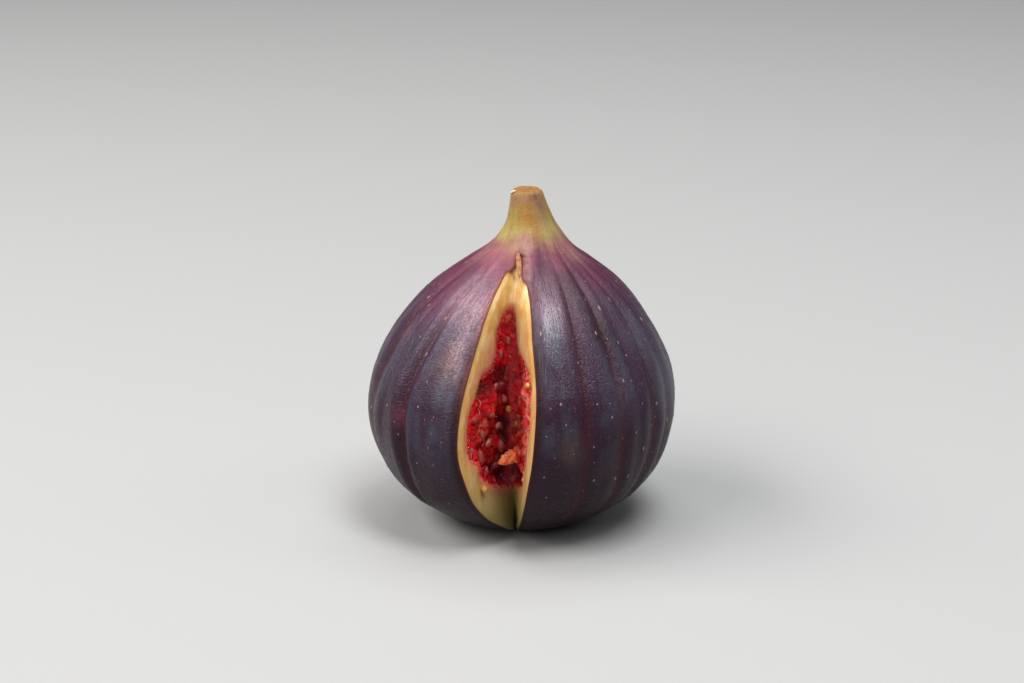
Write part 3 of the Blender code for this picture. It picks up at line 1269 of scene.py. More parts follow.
@dataclass(frozen=True)
class DryFinish:
    """Torn or dried plant tissue, with fine strands along its length."""

    name: str
    light: Colour
    dark: Colour
    roughness: float = 0.55
    grain: float = 1200.0

    def material(self) -> Material:
        """Build the material."""
        s = Sketch(self.name)
        strand = s.noise(s.stretch(s.place(), (1.0, 1.0, 0.25)), self.grain, 4.0, 0.6, 0.4)
        return s.finish(
            Base_Color=s.mix(s.span(strand, 0.32, 0.66), self.light, self.dark), Roughness=self.roughness,
            Normal=s.bump(strand, 0.00015), Subsurface_Weight=0.12,
            Subsurface_Radius=(1.0, 0.5, 0.2), Subsurface_Scale=0.0006,
        )


@dataclass(frozen=True)
class FloorFinish:
    """A plain pale floor."""

    colour: Colour = (0.35, 0.347, 0.343)

    def material(self) -> Material:
        """Build the material."""
        return Sketch("floor").finish(Base_Color=self.colour, Roughness=0.75, Specular_IOR_Level=0.3)


@dataclass(frozen=True)
class SkinMark:
    """A blush or a scuff on the skin.

    Attributes:
        azimuth: Its middle's azimuth in degrees.
        height: Its middle's height in millimetres.
        across: Half its width in millimetres.
        tall: Half its height in millimetres.
        strength: From 0 to 1.
    """

    azimuth: float
    height: float
    across: float
    tall: float
    strength: float


TINTS = {name: tuple(SkinMark(*row) for row in rows) for name, rows in {
    "blush": (
        (-16.0, 43.0, 0.8, 3.0, 0.4), (28.0, 56.2, 0.35, 0.35, 1.0), (4.0, 47.3, 1.2, 1.0, 0.7),
        (34.0, 46.2, 2.4, 1.0, 0.8), (-40.0, 45.6, 2.6, 1.8, 0.8), (-20.0, 45.6, 1.2, 1.2, 0.6),
        (-62.0, 40.0, 5.0, 3.5, 0.3), (-68.0, 35.0, 1.0, 1.0, 0.7), (-52.5, 22.8, 1.7, 1.8, 0.32),
        (-79.0, 42.5, 4.0, 2.5, 0.35), (62.0, 43.5, 4.0, 1.8, 0.25), (105.0, 41.0, 6.0, 5.0, 0.35),
        (-150.0, 41.0, 7.0, 4.0, 0.4), (165.0, 26.0, 2.0, 2.6, 0.3),
    ),
    # Dark purple: partly the skin's own colour, partly painted shade on the right shoulder beside the slit.
    "plum": (
        (17.0, 43.6, 3.0, 3.0, 0.6), (29.0, 46.6, 1.6, 1.2, 0.5), (30.0, 43.0, 6.0, 3.6, 0.6),
        (13.0, 46.2, 1.5, 2.6, 0.95), (24.0, 44.2, 3.0, 2.2, 0.6), (6.5, 43.0, 0.9, 2.0, 0.6),
        (36.0, 42.6, 5.0, 3.4, 0.55), (66.0, 42.5, 4.0, 2.6, 0.4), (-17.0, 46.8, 0.7, 1.2, 0.8),
        (-150.0, 45.5, 2.5, 2.0, 0.7), (95.0, 45.0, 2.5, 2.0, 0.6),
    ),
    # Pale pink on the collar and stem: partly the skin's own colour, partly painted highlight on the ridge
    # beside the slit's top and on the stem.
    "haze": (
        (-12.0, 48.9, 1.1, 1.4, 0.9), (-5.0, 48.2, 1.3, 1.5, 0.9), (-4.0, 47.0, 0.7, 2.0, 0.85),
        (-0.8, 44.4, 0.4, 1.8, 0.65), (-14.0, 55.9, 0.55, 0.6, 1.0), (33.0, 51.8, 0.9, 1.8, 0.45),
        (36.0, 54.6, 0.7, 0.9, 0.4), (-28.0, 48.4, 1.4, 1.2, 0.55), (62.0, 47.2, 2.2, 1.8, 0.6),
        (-75.0, 46.6, 2.0, 1.6, 0.5), (150.0, 48.0, 1.6, 1.8, 0.6),
    ),
    "green": (
        (-42.0, 52.8, 0.8, 2.4, 0.75), (46.0, 52.2, 0.8, 1.8, 0.65), (-76.0, 50.0, 1.2, 1.2, 0.6),
        (25.0, 50.6, 0.9, 1.0, 0.5), (118.0, 51.5, 0.9, 3.0, 0.8), (-120.0, 51.0, 0.9, 3.0, 0.8),
        (175.0, 50.0, 1.0, 2.4, 0.6),
    ),
    "ochre": (
        (-8.0, 53.6, 1.8, 3.0, 1.0), (10.0, 52.0, 1.1, 2.6, 0.8), (-32.0, 48.1, 1.4, 1.2, 0.6),
        (-50.0, 51.2, 0.8, 1.4, 0.55), (85.0, 53.0, 1.2, 2.6, 0.7), (-155.0, 53.0, 1.5, 2.6, 0.8),
        (150.0, 54.0, 0.9, 2.0, 0.6),
    ),
    "mauve": (
        (-50.0, 55.4, 0.8, 1.3, 0.85), (42.0, 54.9, 1.2, 2.1, 0.9), (20.0, 56.2, 0.9, 0.6, 0.9),
        (72.0, 52.4, 0.6, 2.0, 0.6), (110.0, 55.2, 1.0, 1.5, 0.8), (-120.0, 55.2, 1.2, 1.6, 0.9),
        (170.0, 55.5, 1.2, 1.0, 0.6), (-49.0, 50.4, 0.14, 0.8, 1.0),
    ),
    # Near-black: the first three, on the right shoulder, are painted shade; the rest are dark blotches and
    # scars.
    "scuff": (
        (31.0, 41.8, 2.6, 3.2, 0.65), (39.0, 37.0, 3.4, 4.2, 0.65), (40.0, 45.2, 1.6, 1.4, 0.45),
        (17.0, 21.6, 1.9, 1.3, 0.6), (18.5, 13.2, 2.2, 0.7, 0.6), (55.5, 18.0, 0.5, 3.0, 0.9),
        (-56.0, 33.4, 0.9, 1.3, 0.9), (-57.5, 27.6, 0.5, 2.4, 0.8), (-54.0, 25.6, 1.0, 0.5, 0.7),
        (-120.0, 20.0, 1.5, 2.5, 0.5), (140.0, 31.0, 0.8, 2.0, 0.6),
    ),
    "rubbed": (
        (9.0, 40.0, 3.0, 4.2, 1.0), (9.0, 33.5, 1.9, 4.5, 0.8), (170.0, 34.0, 2.0, 5.0, 0.6),
    ),
    "crinkle": (
        (-31.0, 36.0, 3.4, 6.5, 1.0), (-33.0, 41.5, 4.6, 3.8, 1.0), (-60.0, 33.0, 4.5, 7.0, 0.45),
        (-130.0, 31.0, 7.0, 9.0, 0.7), (140.0, 34.0, 8.0, 8.0, 0.7), (20.0, 31.0, 3.0, 4.0, 0.2),
        (-25.0, 22.0, 1.6, 5.0, 0.5),
    ),
    # Red-pink beside the left rim: partly the skin's own colour, partly painted sheen on the rolled edge of the
    # slit.
    "flush": (
        (-24.0, 40.5, 5.0, 5.5, 1.0), (-25.0, 32.0, 2.5, 5.0, 0.55),
    ),
    # Painted sheen: pale patches where the skin's sheen is brightest, beside the slit and on the back.
    "dust": (
        (-31.0, 40.5, 3.4, 3.4, 0.85), (-42.0, 41.3, 3.0, 3.0, 0.8), (-30.0, 35.5, 1.9, 4.0, 0.6),
        (-40.0, 44.0, 0.8, 3.0, 0.35), (-26.5, 31.6, 1.0, 2.4, 0.6), (9.0, 41.0, 1.6, 2.2, 0.22),
        (130.0, 38.0, 3.0, 5.0, 0.22), (-140.0, 36.0, 3.0, 5.0, 0.22),
    ),
    # Painted sheen: blue-grey where the flanks catch a broad soft reflection.
    "slate": (
        (63.0, 35.0, 4.0, 5.5, 0.9), (40.0, 28.0, 4.0, 5.0, 0.55), (71.0, 28.0, 5.0, 8.0, 0.9),
        (50.0, 40.0, 3.0, 3.0, 0.3), (88.0, 27.0, 5.0, 9.0, 0.5), (-66.0, 31.0, 2.6, 5.0, 0.3),
        (150.0, 33.0, 5.0, 7.0, 0.45), (-118.0, 33.0, 5.0, 6.0, 0.4), (-158.0, 30.0, 4.0, 7.0, 0.4),
    ),
    "gold": (
        (-33.0, 33.0, 1.3, 2.6, 0.55), (-70.0, 35.2, 1.2, 1.6, 0.35), (18.0, 19.5, 2.0, 2.4, 0.25),
    ),
}.items()}


@dataclass
class SkinGrid:
    """The skin's grid of rows and columns, from the slit's right edge round to its left one.

    Attributes:
        rows: The rows' (radius, height), from the eye's centre to the centre of the stem's end.
        opened: Which rows the slit opens.
        azimuth: Each point's azimuth.
        rim: Each point's distance to the slit's edge.
        points: Each point's place.
    """

    rows: Array
    opened: Array
    azimuth: Array
    rim: Array
    points: Array

    def used(self) -> list[int]:
        """How many columns of each row are points of their own: a closed row ends where it starts."""
        width = self.azimuth.shape[1]
        own = zip(self.rows[:, 0] < 1e-6, self.opened)
        return [1 if single else width if opened else width - 1 for single, opened in own]

    def flat(self, grid: Array) -> Array:
        """A grid's values, one for each point of the mesh."""
        return np.concatenate([row[:count] for row, count in zip(grid, self.used())])

    def numbers(self) -> Array:
        """The point number at each place in the grid."""
        number = np.zeros(self.azimuth.shape, int)
        total = 0
        for row, count in zip(number, self.used()):
            row[:count] = np.arange(total, total + count)
            row[count:] = total
            total += count
        return number


@dataclass
class Patchwork:
    """The faces of the body in the making, with each one's material slot and bake map."""

    faces: Faces = field(default_factory=list)
    slots: list[int] = field(default_factory=list)
    map: list[Array] = field(default_factory=list)

    def add(self, rings: Array, places: Array, slot: int) -> None:
        """Add faces, and leave out a corner that repeats one before it.

        Args:
            rings: Four point numbers a face.
            places: Their places on the bake map.
            slot: The material slot.
        """
        for ring, spots in zip(rings.tolist(), places):
            kept = [k for k in range(4) if ring[k] not in ring[:k]]
            self.faces.append(tuple(ring[k] for k in kept))
            self.slots.append(slot)
            self.map.append(spots[kept])


@dataclass
class FigBody:
    """Skin, rind, neck and stem: one closed mesh, with the slit's cut faces."""

    form: FigForm
    relief: SkinRelief
    faces: CutFaces
    row_step: float = 0.45
    columns: int = 340
    face_columns: int = 44
    crowding: float = 0.68
    seam_split: float = 20.0
    patch_radius: float = 7.2
    skin_blank: float = -9.0
    tints: dict[str, tuple[SkinMark, ...]] = field(default_factory=lambda: TINTS)

    def outline(self) -> Array:
        """The rows' (radius, height), evenly spaced from the eye's centre to the stem end's centre."""
        ends = smooth_path(self.form.eye, 6)[:-1], smooth_path(self.form.stem_end, 6)
        path = np.vstack([ends[0], self.form.wall, ends[1]])
        return evened(path, int(round(run_length(path)[-1] / self.row_step)) + 1)

    def skin(self) -> SkinGrid:
        """Lay the skin's grid."""
        rows, form = self.outline(), self.form
        share = np.linspace(0.0, 1.0, self.columns + 1)
        share = share - self.crowding * np.sin(2.0 * np.pi * share) / (2.0 * np.pi)
        low_seam, high_seam = ((form.left_edge[end][1] + form.right_edge[end][1]) / 2.0 for end in (0, -1))
        seam = np.where(rows[:, 1] < self.seam_split, low_seam, high_seam)
        on_wall = (rows[:, 0] > self.patch_radius) | (rows[:, 1] > 30.0)
        opened = on_wall & (rows[:, 1] > form.slit_low) & (rows[:, 1] < form.slit_high)
        left = np.where(opened, keyed(form.left_edge, rows[:, 1]), seam)[:, None]
        right = np.where(opened, keyed(form.right_edge, rows[:, 1]), seam)[:, None]
        azimuth = right + (left + 360.0 - right) * share
        radius, height = (np.repeat(rows[:, [k]], self.columns + 1, axis=1) for k in (0, 1))
        around = np.radians(azimuth)
        lean = form.lean_at(height)
        reach = radius + self.relief.lift(azimuth, radius, height)
        rim = np.full(radius.shape, FAR)
        for side in Side:
            turned = np.radians(np.abs(azimuth - azimuth[:, [side.column]]))
            away = np.where(opened[:, None], turned * radius, FAR)
            rim = np.minimum(rim, away)
            reach -= self.relief.lip_roll[side] * np.exp(-((away / self.relief.lip_reach[side]) ** 2))
        points = np.stack([lean + reach * np.sin(around), -reach * np.cos(around), height], axis=-1)
        points[..., 2] -= self.stub_slant(points[..., 0] - lean, points[..., 1], height)
        return SkinGrid(rows, opened, azimuth, rim, points)

    def stub_slant(self, x: Array, y: Array, height: Array) -> Array:
        """How far the stem's cut end drops: it slants down to the left and is rough with fibres.

        Args:
            x: Distances from the stem's middle towards +X.
            y: Distances towards +Y.
            height: Heights.

        Returns:
            The drop at each point.
        """
        noise = self.faces.noise
        rough = 0.12 * noise.on_grid(x, y, 0.0, 0.9) + 0.05 * noise.on_grid(x + 7.0, y + 7.0, 7.0, 0.35)
        slant = 0.07 * np.maximum(np.abs(x - 0.6) - 1.0, 0.0) ** 2 + 0.8 * rough
        return np.maximum(slant, 0.0) * smoothstep(54.5, 56.8, height)

    def face_share(self) -> Array:
        """Where the columns of a cut face lie, from 0 at the skin to 1 at the knife line."""
        return (np.arange(self.face_columns + 1) / self.face_columns) ** 1.45

    def cut_marks(
        self, side: Side, out: Array, tall: Array, deep: Array, flesh: Array, lane: float,
    ) -> dict[str, Array]:
        """Gather the marks of points on a cut face.

        Args:
            side: The face.
            out: Distances from the knife line.
            tall: Heights.
            deep: Depths under the skin.
            flesh: Distances inside the flesh's border.
            lane: The third of the coordinates that the cut's grain follows.

        Returns:
            The marks, a value a point.
        """
        marks = {"deep": deep.ravel(), "flesh": flesh.ravel()}
        marks["cut"] = np.column_stack([out.ravel(), tall.ravel(), np.full(out.size, lane)])
        for name, spots in FACE_SPOTS.items():
            marks[name] = self.faces.layers(spots, side, out, tall).max(axis=0).ravel()
        return marks

    def knife_line(self, heights: Array) -> tuple[Array, dict[str, Array]]:
        """Place the points at the bottom of the slit, which both faces share.

        Args:
            heights: The open rows' heights.

        Returns:
            The points and their marks.
        """
        none = np.zeros_like(heights)
        points = np.column_stack([self.form.knife_at(heights) + self.faces.valley(none, heights), heights])
        flesh = np.where((heights > 8.3) & (heights < 38.8), 3.0, -2.0)
        return points, self.cut_marks(Side.LEFT, none, heights, none + 9.0, flesh, 0.0)

    def cut_face(self, side: Side, skin: SkinGrid) -> tuple[Array, dict[str, Array]]:
        """Place the points of one cut face between its rim and the knife line.

        Args:
            side: The face.
            skin: The skin's grid.

        Returns:
            The points, row by row, and their marks.
        """
        heights = skin.rows[skin.opened, 1]
        rims = skin.points[skin.opened]
        knife = self.form.knife_at(heights)
        run = rims[:, side.column, :2] - knife
        length = np.linalg.norm(run, axis=1)[:, None]
        along = (run / length)[:, None]
        off = side.value * np.stack([along[..., 1], -along[..., 0]], axis=-1)
        deep = length * self.face_share()[1:-1]
        out = length - deep
        tall = np.repeat(heights[:, None], out.shape[1], axis=1)
        gap = np.abs(rims[:, -1, 0] - rims[:, 0, 0])[:, None]
        lift = np.minimum(self.faces.relief(side, out, tall, deep), 0.32 * gap * out / length)
        flat = knife[:, None] + along * out[..., None] + off * lift[..., None] + self.faces.valley(out, tall)
        flesh = self.faces.into_flesh(side, out, tall)
        marks = self.cut_marks(side, out, tall, deep, flesh, self.faces.LANE * side.value)
        return np.concatenate([flat, tall[..., None]], axis=-1).reshape(-1, 3), marks

    def sew(self, skin: SkinGrid, number: Array) -> Patchwork:
        """Join the skin's points and both cut faces' points with faces.

        Args:
            skin: The skin's grid.
            number: Its point numbers.

        Returns:
            The faces of the whole body.
        """
        patches = Patchwork()
        run = run_length(skin.rows)
        up = np.repeat((0.57 * run / run[-1] + 0.004)[:, None], number.shape[1], axis=1)
        across = 0.003 + 0.994 * (skin.azimuth - skin.azimuth[:, :1]) / 360.0
        patches.add(cells(number), cells(np.stack([across, up], axis=-1)), 0)
        rows = np.flatnonzero(skin.opened)
        heights = skin.rows[rows, 1]
        knife = number.max() + 1 + np.arange(len(rows))
        inner = np.arange(len(rows) * (self.face_columns - 1)).reshape(len(rows), -1) + knife[-1] + 1
        tips = [np.full(self.face_columns + 1, number[row, 0]) for row in (rows[0] - 1, rows[-1] + 1)]
        v = 0.6 + 0.39 * self.face_share()
        for k, side in enumerate(Side):
            grid = np.column_stack([number[rows, side.column], inner + k * inner.size, knife])
            grid = np.vstack([tips[0], grid, tips[1]])
            u = 0.01 + 0.5 * k + 0.48 * (heights - heights[0]) / (heights[-1] - heights[0])
            places = np.stack(np.meshgrid(u, v, indexing="ij"), axis=-1)
            points = np.repeat(places[[0, -1], :1], len(v), axis=1)
            places = np.vstack([points[:1], places, points[1:]])
            turn = slice(None) if side is Side.LEFT else slice(None, None, -1)
            patches.add(cells(grid)[:, turn], cells(places)[:, turn], 1)
        return patches

    def shape(self) -> Shape:
        """Build the whole body as one closed shape."""
        skin = self.skin()
        number = skin.numbers()
        heights = skin.rows[skin.opened, 1]
        parts = [self.knife_line(heights), *(self.cut_face(side, skin) for side in Side)]
        points = np.vstack([skin.flat(skin.points), *(places for places, _ in parts)])
        marks = self.skin_marks(skin)
        count = len(marks["rim"])
        for key, values in marks.items():
            marks[key] = np.concatenate([values, np.zeros((len(points) - count, *values.shape[1:]))])
        for key in parts[0][1]:
            values = np.concatenate([kept[key] for _, kept in parts])
            blank = np.full((count, *values.shape[1:]), self.skin_blank if key == "flesh" else 0.0)
            marks[key] = np.concatenate([blank, values])
        for side in Side:
            edge = skin.points[skin.opened, side.column, :2]
            reach = np.linalg.norm(edge - self.form.knife_at(heights), axis=1)
            lane = np.full(len(heights), self.faces.LANE * side.value)
            marks["cut"][number[skin.opened, side.column]] = np.column_stack([reach, heights, lane])
        patches = self.sew(skin, number)
        return Shape(points, patches.faces, marks, np.array(patches.slots), np.concatenate(patches.map))

    def skin_marks(self, skin: SkinGrid) -> dict[str, Array]:
        """Measure the marks that the skin's material reads.

        Args:
            skin: The skin's grid.

        Returns:
            The marks, a value a skin point.
        """
        azimuth = skin.azimuth
        radius, height = (np.repeat(skin.rows[:, [k]], azimuth.shape[1], axis=1) for k in (0, 1))
        around = np.radians(azimuth)
        along = np.repeat((run_length(skin.rows) / 30.0)[:, None], azimuth.shape[1], axis=1)
        ends = np.flatnonzero(skin.opened)[[0, -1]]
        beyond = np.min([np.abs(height - height[end, 0]) for end in ends], axis=0)
        bottom, top = ((azimuth[end, 0] + azimuth[end, -1] - 360.0) / 2.0 for end in ends)
        middle = np.where(height < self.seam_split, bottom, top)
        across = np.radians(turned_by(azimuth, middle)) * radius
        past_ends = np.minimum(RIM_REACH, np.hypot(across, beyond))
        grids = {
            "crease": self.relief.crease(azimuth, height)[1],
            "meridian": np.stack([np.cos(around), np.sin(around), along], axis=-1),
            "rim": np.where(skin.opened[:, None], skin.rim, past_ends),
            "stub": smoothstep(56.55, 56.75, height) * smoothstep(2.62, 2.48, radius),
        }
        grids.update({name: self.spots(spots, azimuth, height, radius) for name, spots in self.tints.items()})
        return {key: skin.flat(grid) for key, grid in grids.items()}

    def spots(self, spots: Sequence[SkinMark], azimuth: Array, height: Array, radius: Array) -> Array:
        """Draw the marks of one kind over the skin's grid.

        Args:
            spots: The marks.
            azimuth: The grid's azimuths.
            height: Its heights.
            radius: Its radii.

        Returns:
            How strong they are at each place.
        """
        total = np.zeros_like(azimuth)
        for spot in spots:
            across = np.radians(turned_by(azimuth, spot.azimuth)) * radius / spot.across
            tall = (height - spot.height) / spot.tall
            total = np.maximum(total, spot.strength * np.exp(-(across**2 + tall**2)))
        return total

    def build(self) -> BoxFit:
        """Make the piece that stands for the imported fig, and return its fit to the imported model's box."""
        shape = self.shape()
        fit = BoxFit(shape.points)
        piece = shape.make("fig_body", fit, "skin", SkinFinish().material(), CutFinish().material())
        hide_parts("fig")
        return fit


@dataclass(frozen=True)
class FloretLayer:
    """One layer of the strands that line the flesh.

    Attributes:
        inset: How far inside the flesh's border they start, least and most.
        length: Their length, least and most.
        radius: Their thickness halfway, least and most.
        tone: Their tone at the tip, least and most, from 0, pale, to 1, deep.
        root: Their tone where they start.
        lift: How far they stand off the flesh.
        spacing: The distance from one to the next along the border.
    """

    inset: tuple[float, float]
    length: tuple[float, float]
    radius: tuple[float, float]
    tone: tuple[float, float]
    root: float
    lift: float
    spacing: float


@dataclass
class Florets:
    """The short strands that fringe the flesh on one cut face and point into the fruit."""

    faces: CutFaces
    side: Side
    seed: int
    paleness: float = 0.0
    steps: int = 8
    sides: int = 6
    layers: tuple[FloretLayer, ...] = (
        FloretLayer((-0.3, 0.2), (0.9, 2.0), (0.07, 0.13), (0.3, 0.55), 0.1, 0.08, 0.75),
        FloretLayer((0.2, 0.9), (1.6, 3.0), (0.12, 0.2), (0.3, 0.6), 0.25, 0.2, 0.75),
        FloretLayer((1.2, 2.6), (1.6, 3.2), (0.14, 0.24), (0.4, 0.65), 0.35, 0.26, 1.2),
    )

    def border(self, spacing: float) -> Array:
        """Evenly spaced (out, height) points along the flesh's border."""
        line = self.faces.borders[self.side][:, ::-1]
        return evened(line, int(run_length(line)[-1] / spacing) + 1)

    def strand(self, layer: FloretLayer, start: Array, rng: np.random.Generator) -> Shape | None:
        """Draw one strand.

        Args:
            layer: The layer that it belongs to.
            start: The (out, height) place on the border where it starts.
            rng: The source of chance.

        Returns:
            The strand, or nothing where the flesh is too narrow for it.
        """
        t = np.linspace(0.0, 1.0, self.steps)
        inward = np.array([0.3, 21.0 + 0.55 * (start[1] - 21.0)]) - start
        reach = float(np.linalg.norm(inward))
        turn = rng.normal(0.0, 0.16)
        x, y = inward / max(reach, 1e-6)
        inward = np.array([x * math.cos(turn) - y * math.sin(turn), x * math.sin(turn) + y * math.cos(turn)])
        inset, length = rng.uniform(*layer.inset), rng.uniform(*layer.length)
        radius, curl, tone = rng.uniform(*layer.radius), rng.normal(0.0, 0.1), rng.uniform(*layer.tone)
        pale, arch = rng.random(), rng.uniform(0.4, 1.2)
        if reach < inset + 0.8:
            return None
        length = min(length, reach - inset)
        line = start + inward * (inset + length * t[:, None])
        line += np.array([-inward[1], inward[0]]) * (curl * np.sin(np.pi * t))[:, None]
        lift = 0.12 + layer.lift * arch * np.sin(np.pi * t**1.2) - 0.3 * t**3
        path = self.faces.on_bed(self.side, np.maximum(line[:, 0], 0.1), line[:, 1], lift)
        radii = radius * (0.55 + 0.45 * np.sin(np.pi * np.clip(t, 0.05, 0.95)))
        points, faces = tube(path, radii, self.sides)
        tones = layer.root + (tone - layer.root) * smoothstep(0.0, 0.7, t) - self.paleness * (pale > 0.5)
        tones = tones + 0.48 * smoothstep(14.0, 10.5, start[1])
        ring = np.concatenate([np.repeat(tones, self.sides), [tones[0], tones[-1]]])
        return Shape(points, faces, {"tone": ring, "warm": np.zeros(len(points))})

    def build(self, fit: BoxFit) -> None:
        """Make the strands as one piece.

        Args:
            fit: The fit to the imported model\'s box.
        """
        rng = np.random.default_rng(self.seed)
        shapes = []
        for layer in self.layers:
            for start in self.border(layer.spacing):
                start = start + rng.normal(0.0, 0.25, 2) * layer.spacing
                shapes.append(self.strand(layer, start, rng))
        name = self.side.name.lower()
        finish = PulpFinish(f"floret_pulp_{name}")
        shapes = [shape for shape in shapes if shape is not None]
        Shape.joined(shapes).make(f"florets_{name}", fit, "pulp", finish.material())


@dataclass
class Jelly:
    """The wet flesh over both cut faces: one folded sheet with seeds half drowned in it."""

    faces: CutFaces
    seed: int = 3
    low: float = 8.1
    high: float = 39.8
    rows: int = 200
    columns: int = 140
    overlap: float = 0.4
    thickness: float = 0.45
    side_tone: dict[Side, float] = field(default_factory=lambda: {Side.LEFT: 0.52, Side.RIGHT: 0.15})
    drowned: int = 24
    lobes: int = 60
    lane: float = 60.0
    noise: Noise = field(default_factory=lambda: Noise(37))

    def domes(self, side: Side, out: Array, tall: Array) -> tuple[Array, Array, Array]:
        """Draw the drowned seeds and the soft lobes of one side.

        Args:
            side: The face.
            out: The sheet's distances from the knife line.
            tall: The sheet's heights.

        Returns:
            How high they lift the sheet, how much of a seed shows, and how the lobes vary its tone.
        """
        rng = np.random.default_rng(self.seed + side.value)
        lift, seed, tone = np.zeros_like(out), np.zeros_like(out), np.zeros_like(out)
        for spot in self.faces.scatter(side, rng, self.lobes, 0.8, 1.35):
            size, shade = rng.uniform(0.8, 1.5), rng.normal(0.0, 0.09)
            away = np.hypot(out - spot[0], (tall - spot[1]) * rng.uniform(0.7, 1.3)) / size
            lift = np.maximum(lift, 0.42 * size * np.sqrt(np.maximum(1.0 - away**2, 0.0)))
            tone += shade * np.exp(-(away**2))
        for spot in self.faces.scatter(side, rng, self.drowned, 1.0, 1.45):
            turn, length, width = rng.uniform(0.0, math.pi), rng.uniform(0.75, 1.1), rng.uniform(0.5, 0.68)
            over, high = out - spot[0], tall - spot[1]
            along = (over * math.cos(turn) + high * math.sin(turn)) / length
            across = (high * math.cos(turn) - over * math.sin(turn)) / width
            away = along**2 + across**2
            lift += 0.38 * np.sqrt(np.maximum(1.0 - away, 0.0))
            seed = np.maximum(seed, rng.uniform(0.25, 0.9) * smoothstep(1.05, 0.45, away))
        return lift, seed, tone

    def sheet(self, side: Side, out: Array, tall: Array) -> tuple[Array, dict[str, Array]]:
        """Draw one side of the sheet.

        Args:
            side: The face.
            out: The sheet's distances from the knife line.
            tall: The sheet's heights.

        Returns:
            The sheet's lift off the face's bed, and its marks.
        """
        inside = self.faces.into_flesh(side, out, tall)
        lane = self.lane * side.value
        strand = (tall - 21.0) / (0.55 + 0.45 * np.maximum(out, 0.0) / 12.0)
        folds = self.noise.on_grid(strand, 0.2 * out, lane, 0.55)
        sizes = ((0.0, 1.3), (30.0, 0.4), (60.0, 0.22), (90.0, 2.6))
        octaves = (self.noise.on_grid(out + k, tall + k, lane + k, size) for k, size in sizes)
        soft, fine, grain, patch = octaves
        near = smoothstep(4.5, 0.3, inside)
        domes, seed, shade = self.domes(side, out, tall)
        upper = smoothstep(27.0, 31.0, tall)
        folded = np.maximum(near, upper)
        relief = (0.1 + 0.14 * folded) * folds + 0.14 * soft + 0.05 * fine + 0.02 * grain
        relief += domes * (1.0 - 0.6 * near) * (1.0 - 0.5 * upper)
        ragged = inside + 0.55 * fine + 0.35 * folds
        lift = -0.3 + 0.5 * smoothstep(-0.5, 1.5, ragged) + relief * smoothstep(0.0, 1.4, ragged)
        tone = self.side_tone[side] + shade + self.faces.layers(FLESH_TONES, side, out, tall).sum(axis=0)
        tone += (0.18 if side is Side.RIGHT else 0.0) * smoothstep(4.2, 2.2, out)
        tone += 0.16 * smoothstep(0.5, 4.0, inside) - 0.26 * folds * (0.3 + 0.7 * folded) - 0.16 * soft
        tone = np.where(seed > 0.3, tone, tone - 0.08 * domes)
        bare = 0.75 * smoothstep(0.1, 0.5, patch)
        tone *= bare + (1.0 - bare) * smoothstep(-0.3, 0.6, ragged)
        warm = self.faces.layers(FLESH_WARMTH, side, out, tall).sum(axis=0)
        warm = warm * smoothstep(-0.2, 0.25, soft + fine)
        marks = {"tone": tone, "warm": np.clip(warm, 0.0, 1.0), "seed": seed * smoothstep(0.4, 1.2, inside)}
        return lift, marks

    def drape(self, side: Side, out: Array, tall: Array, lift: Array, wander: Array) -> tuple[Array, Array]:
        """Lay one side of the sheet over its face's bed.

        Args:
            side: The face.
            out: The sheet's distances from the knife line.
            tall: The sheet's heights.
            lift: The sheet's lift off the bed.
            wander: How far the sheet's middle strays sideways at each row.

        Returns:
            The points of its upper and of its under surface.
        """
        lift = lift * smoothstep(0.0, 1.0, out)
        both = self.faces.middle(tall)
        middle = np.concatenate([both, np.zeros((*out.shape, 1))], axis=-1)
        middle = middle * (1.0 - smoothstep(0.0, 1.3, out))[..., None]
        rise = 0.22 * smoothstep(self.low, self.low + 1.5, tall)
        rise = rise * smoothstep(self.high, self.high - 1.5, tall)
        upper = self.faces.on_bed(side, out, tall, lift) + middle * rise[..., None]
        cross = np.stack([-both[..., 1], both[..., 0], np.zeros(out.shape)], axis=-1)
        upper += cross * (wander[:, None] * (1.0 - smoothstep(0.0, 2.6, out)))[..., None]
        sunk = np.minimum(lift, 0.0) - self.thickness * smoothstep(0.0, 1.0, out)
        return upper, self.faces.on_bed(side, out, tall, sunk) - middle * self.thickness

    def bake_map(self, rows: int, columns: int) -> Array:
        """Map the sheet: its top, its underside and its four rims beside each other.

        Args:
            rows: The sheet's rows.
            columns: Its columns.

        Returns:
            One (u, v) a face corner.
        """
        u, v = np.linspace(0.01, 0.485, columns), np.linspace(0.01, 0.99, rows)
        top = np.stack(np.meshgrid(u, v), axis=-1)
        under = np.stack(np.meshgrid(1.0 - u, v), axis=-1)
        rims = []
        for k, count in enumerate((columns, rows, columns, rows)):
            left = 0.49 + 0.005 * k
            rim = np.meshgrid((left, left + 0.003), np.linspace(0.01, 0.99, count), indexing="ij")
            rims.append(np.stack(rim, axis=-1))
        return slab(top, under, rims).reshape(-1, 2)

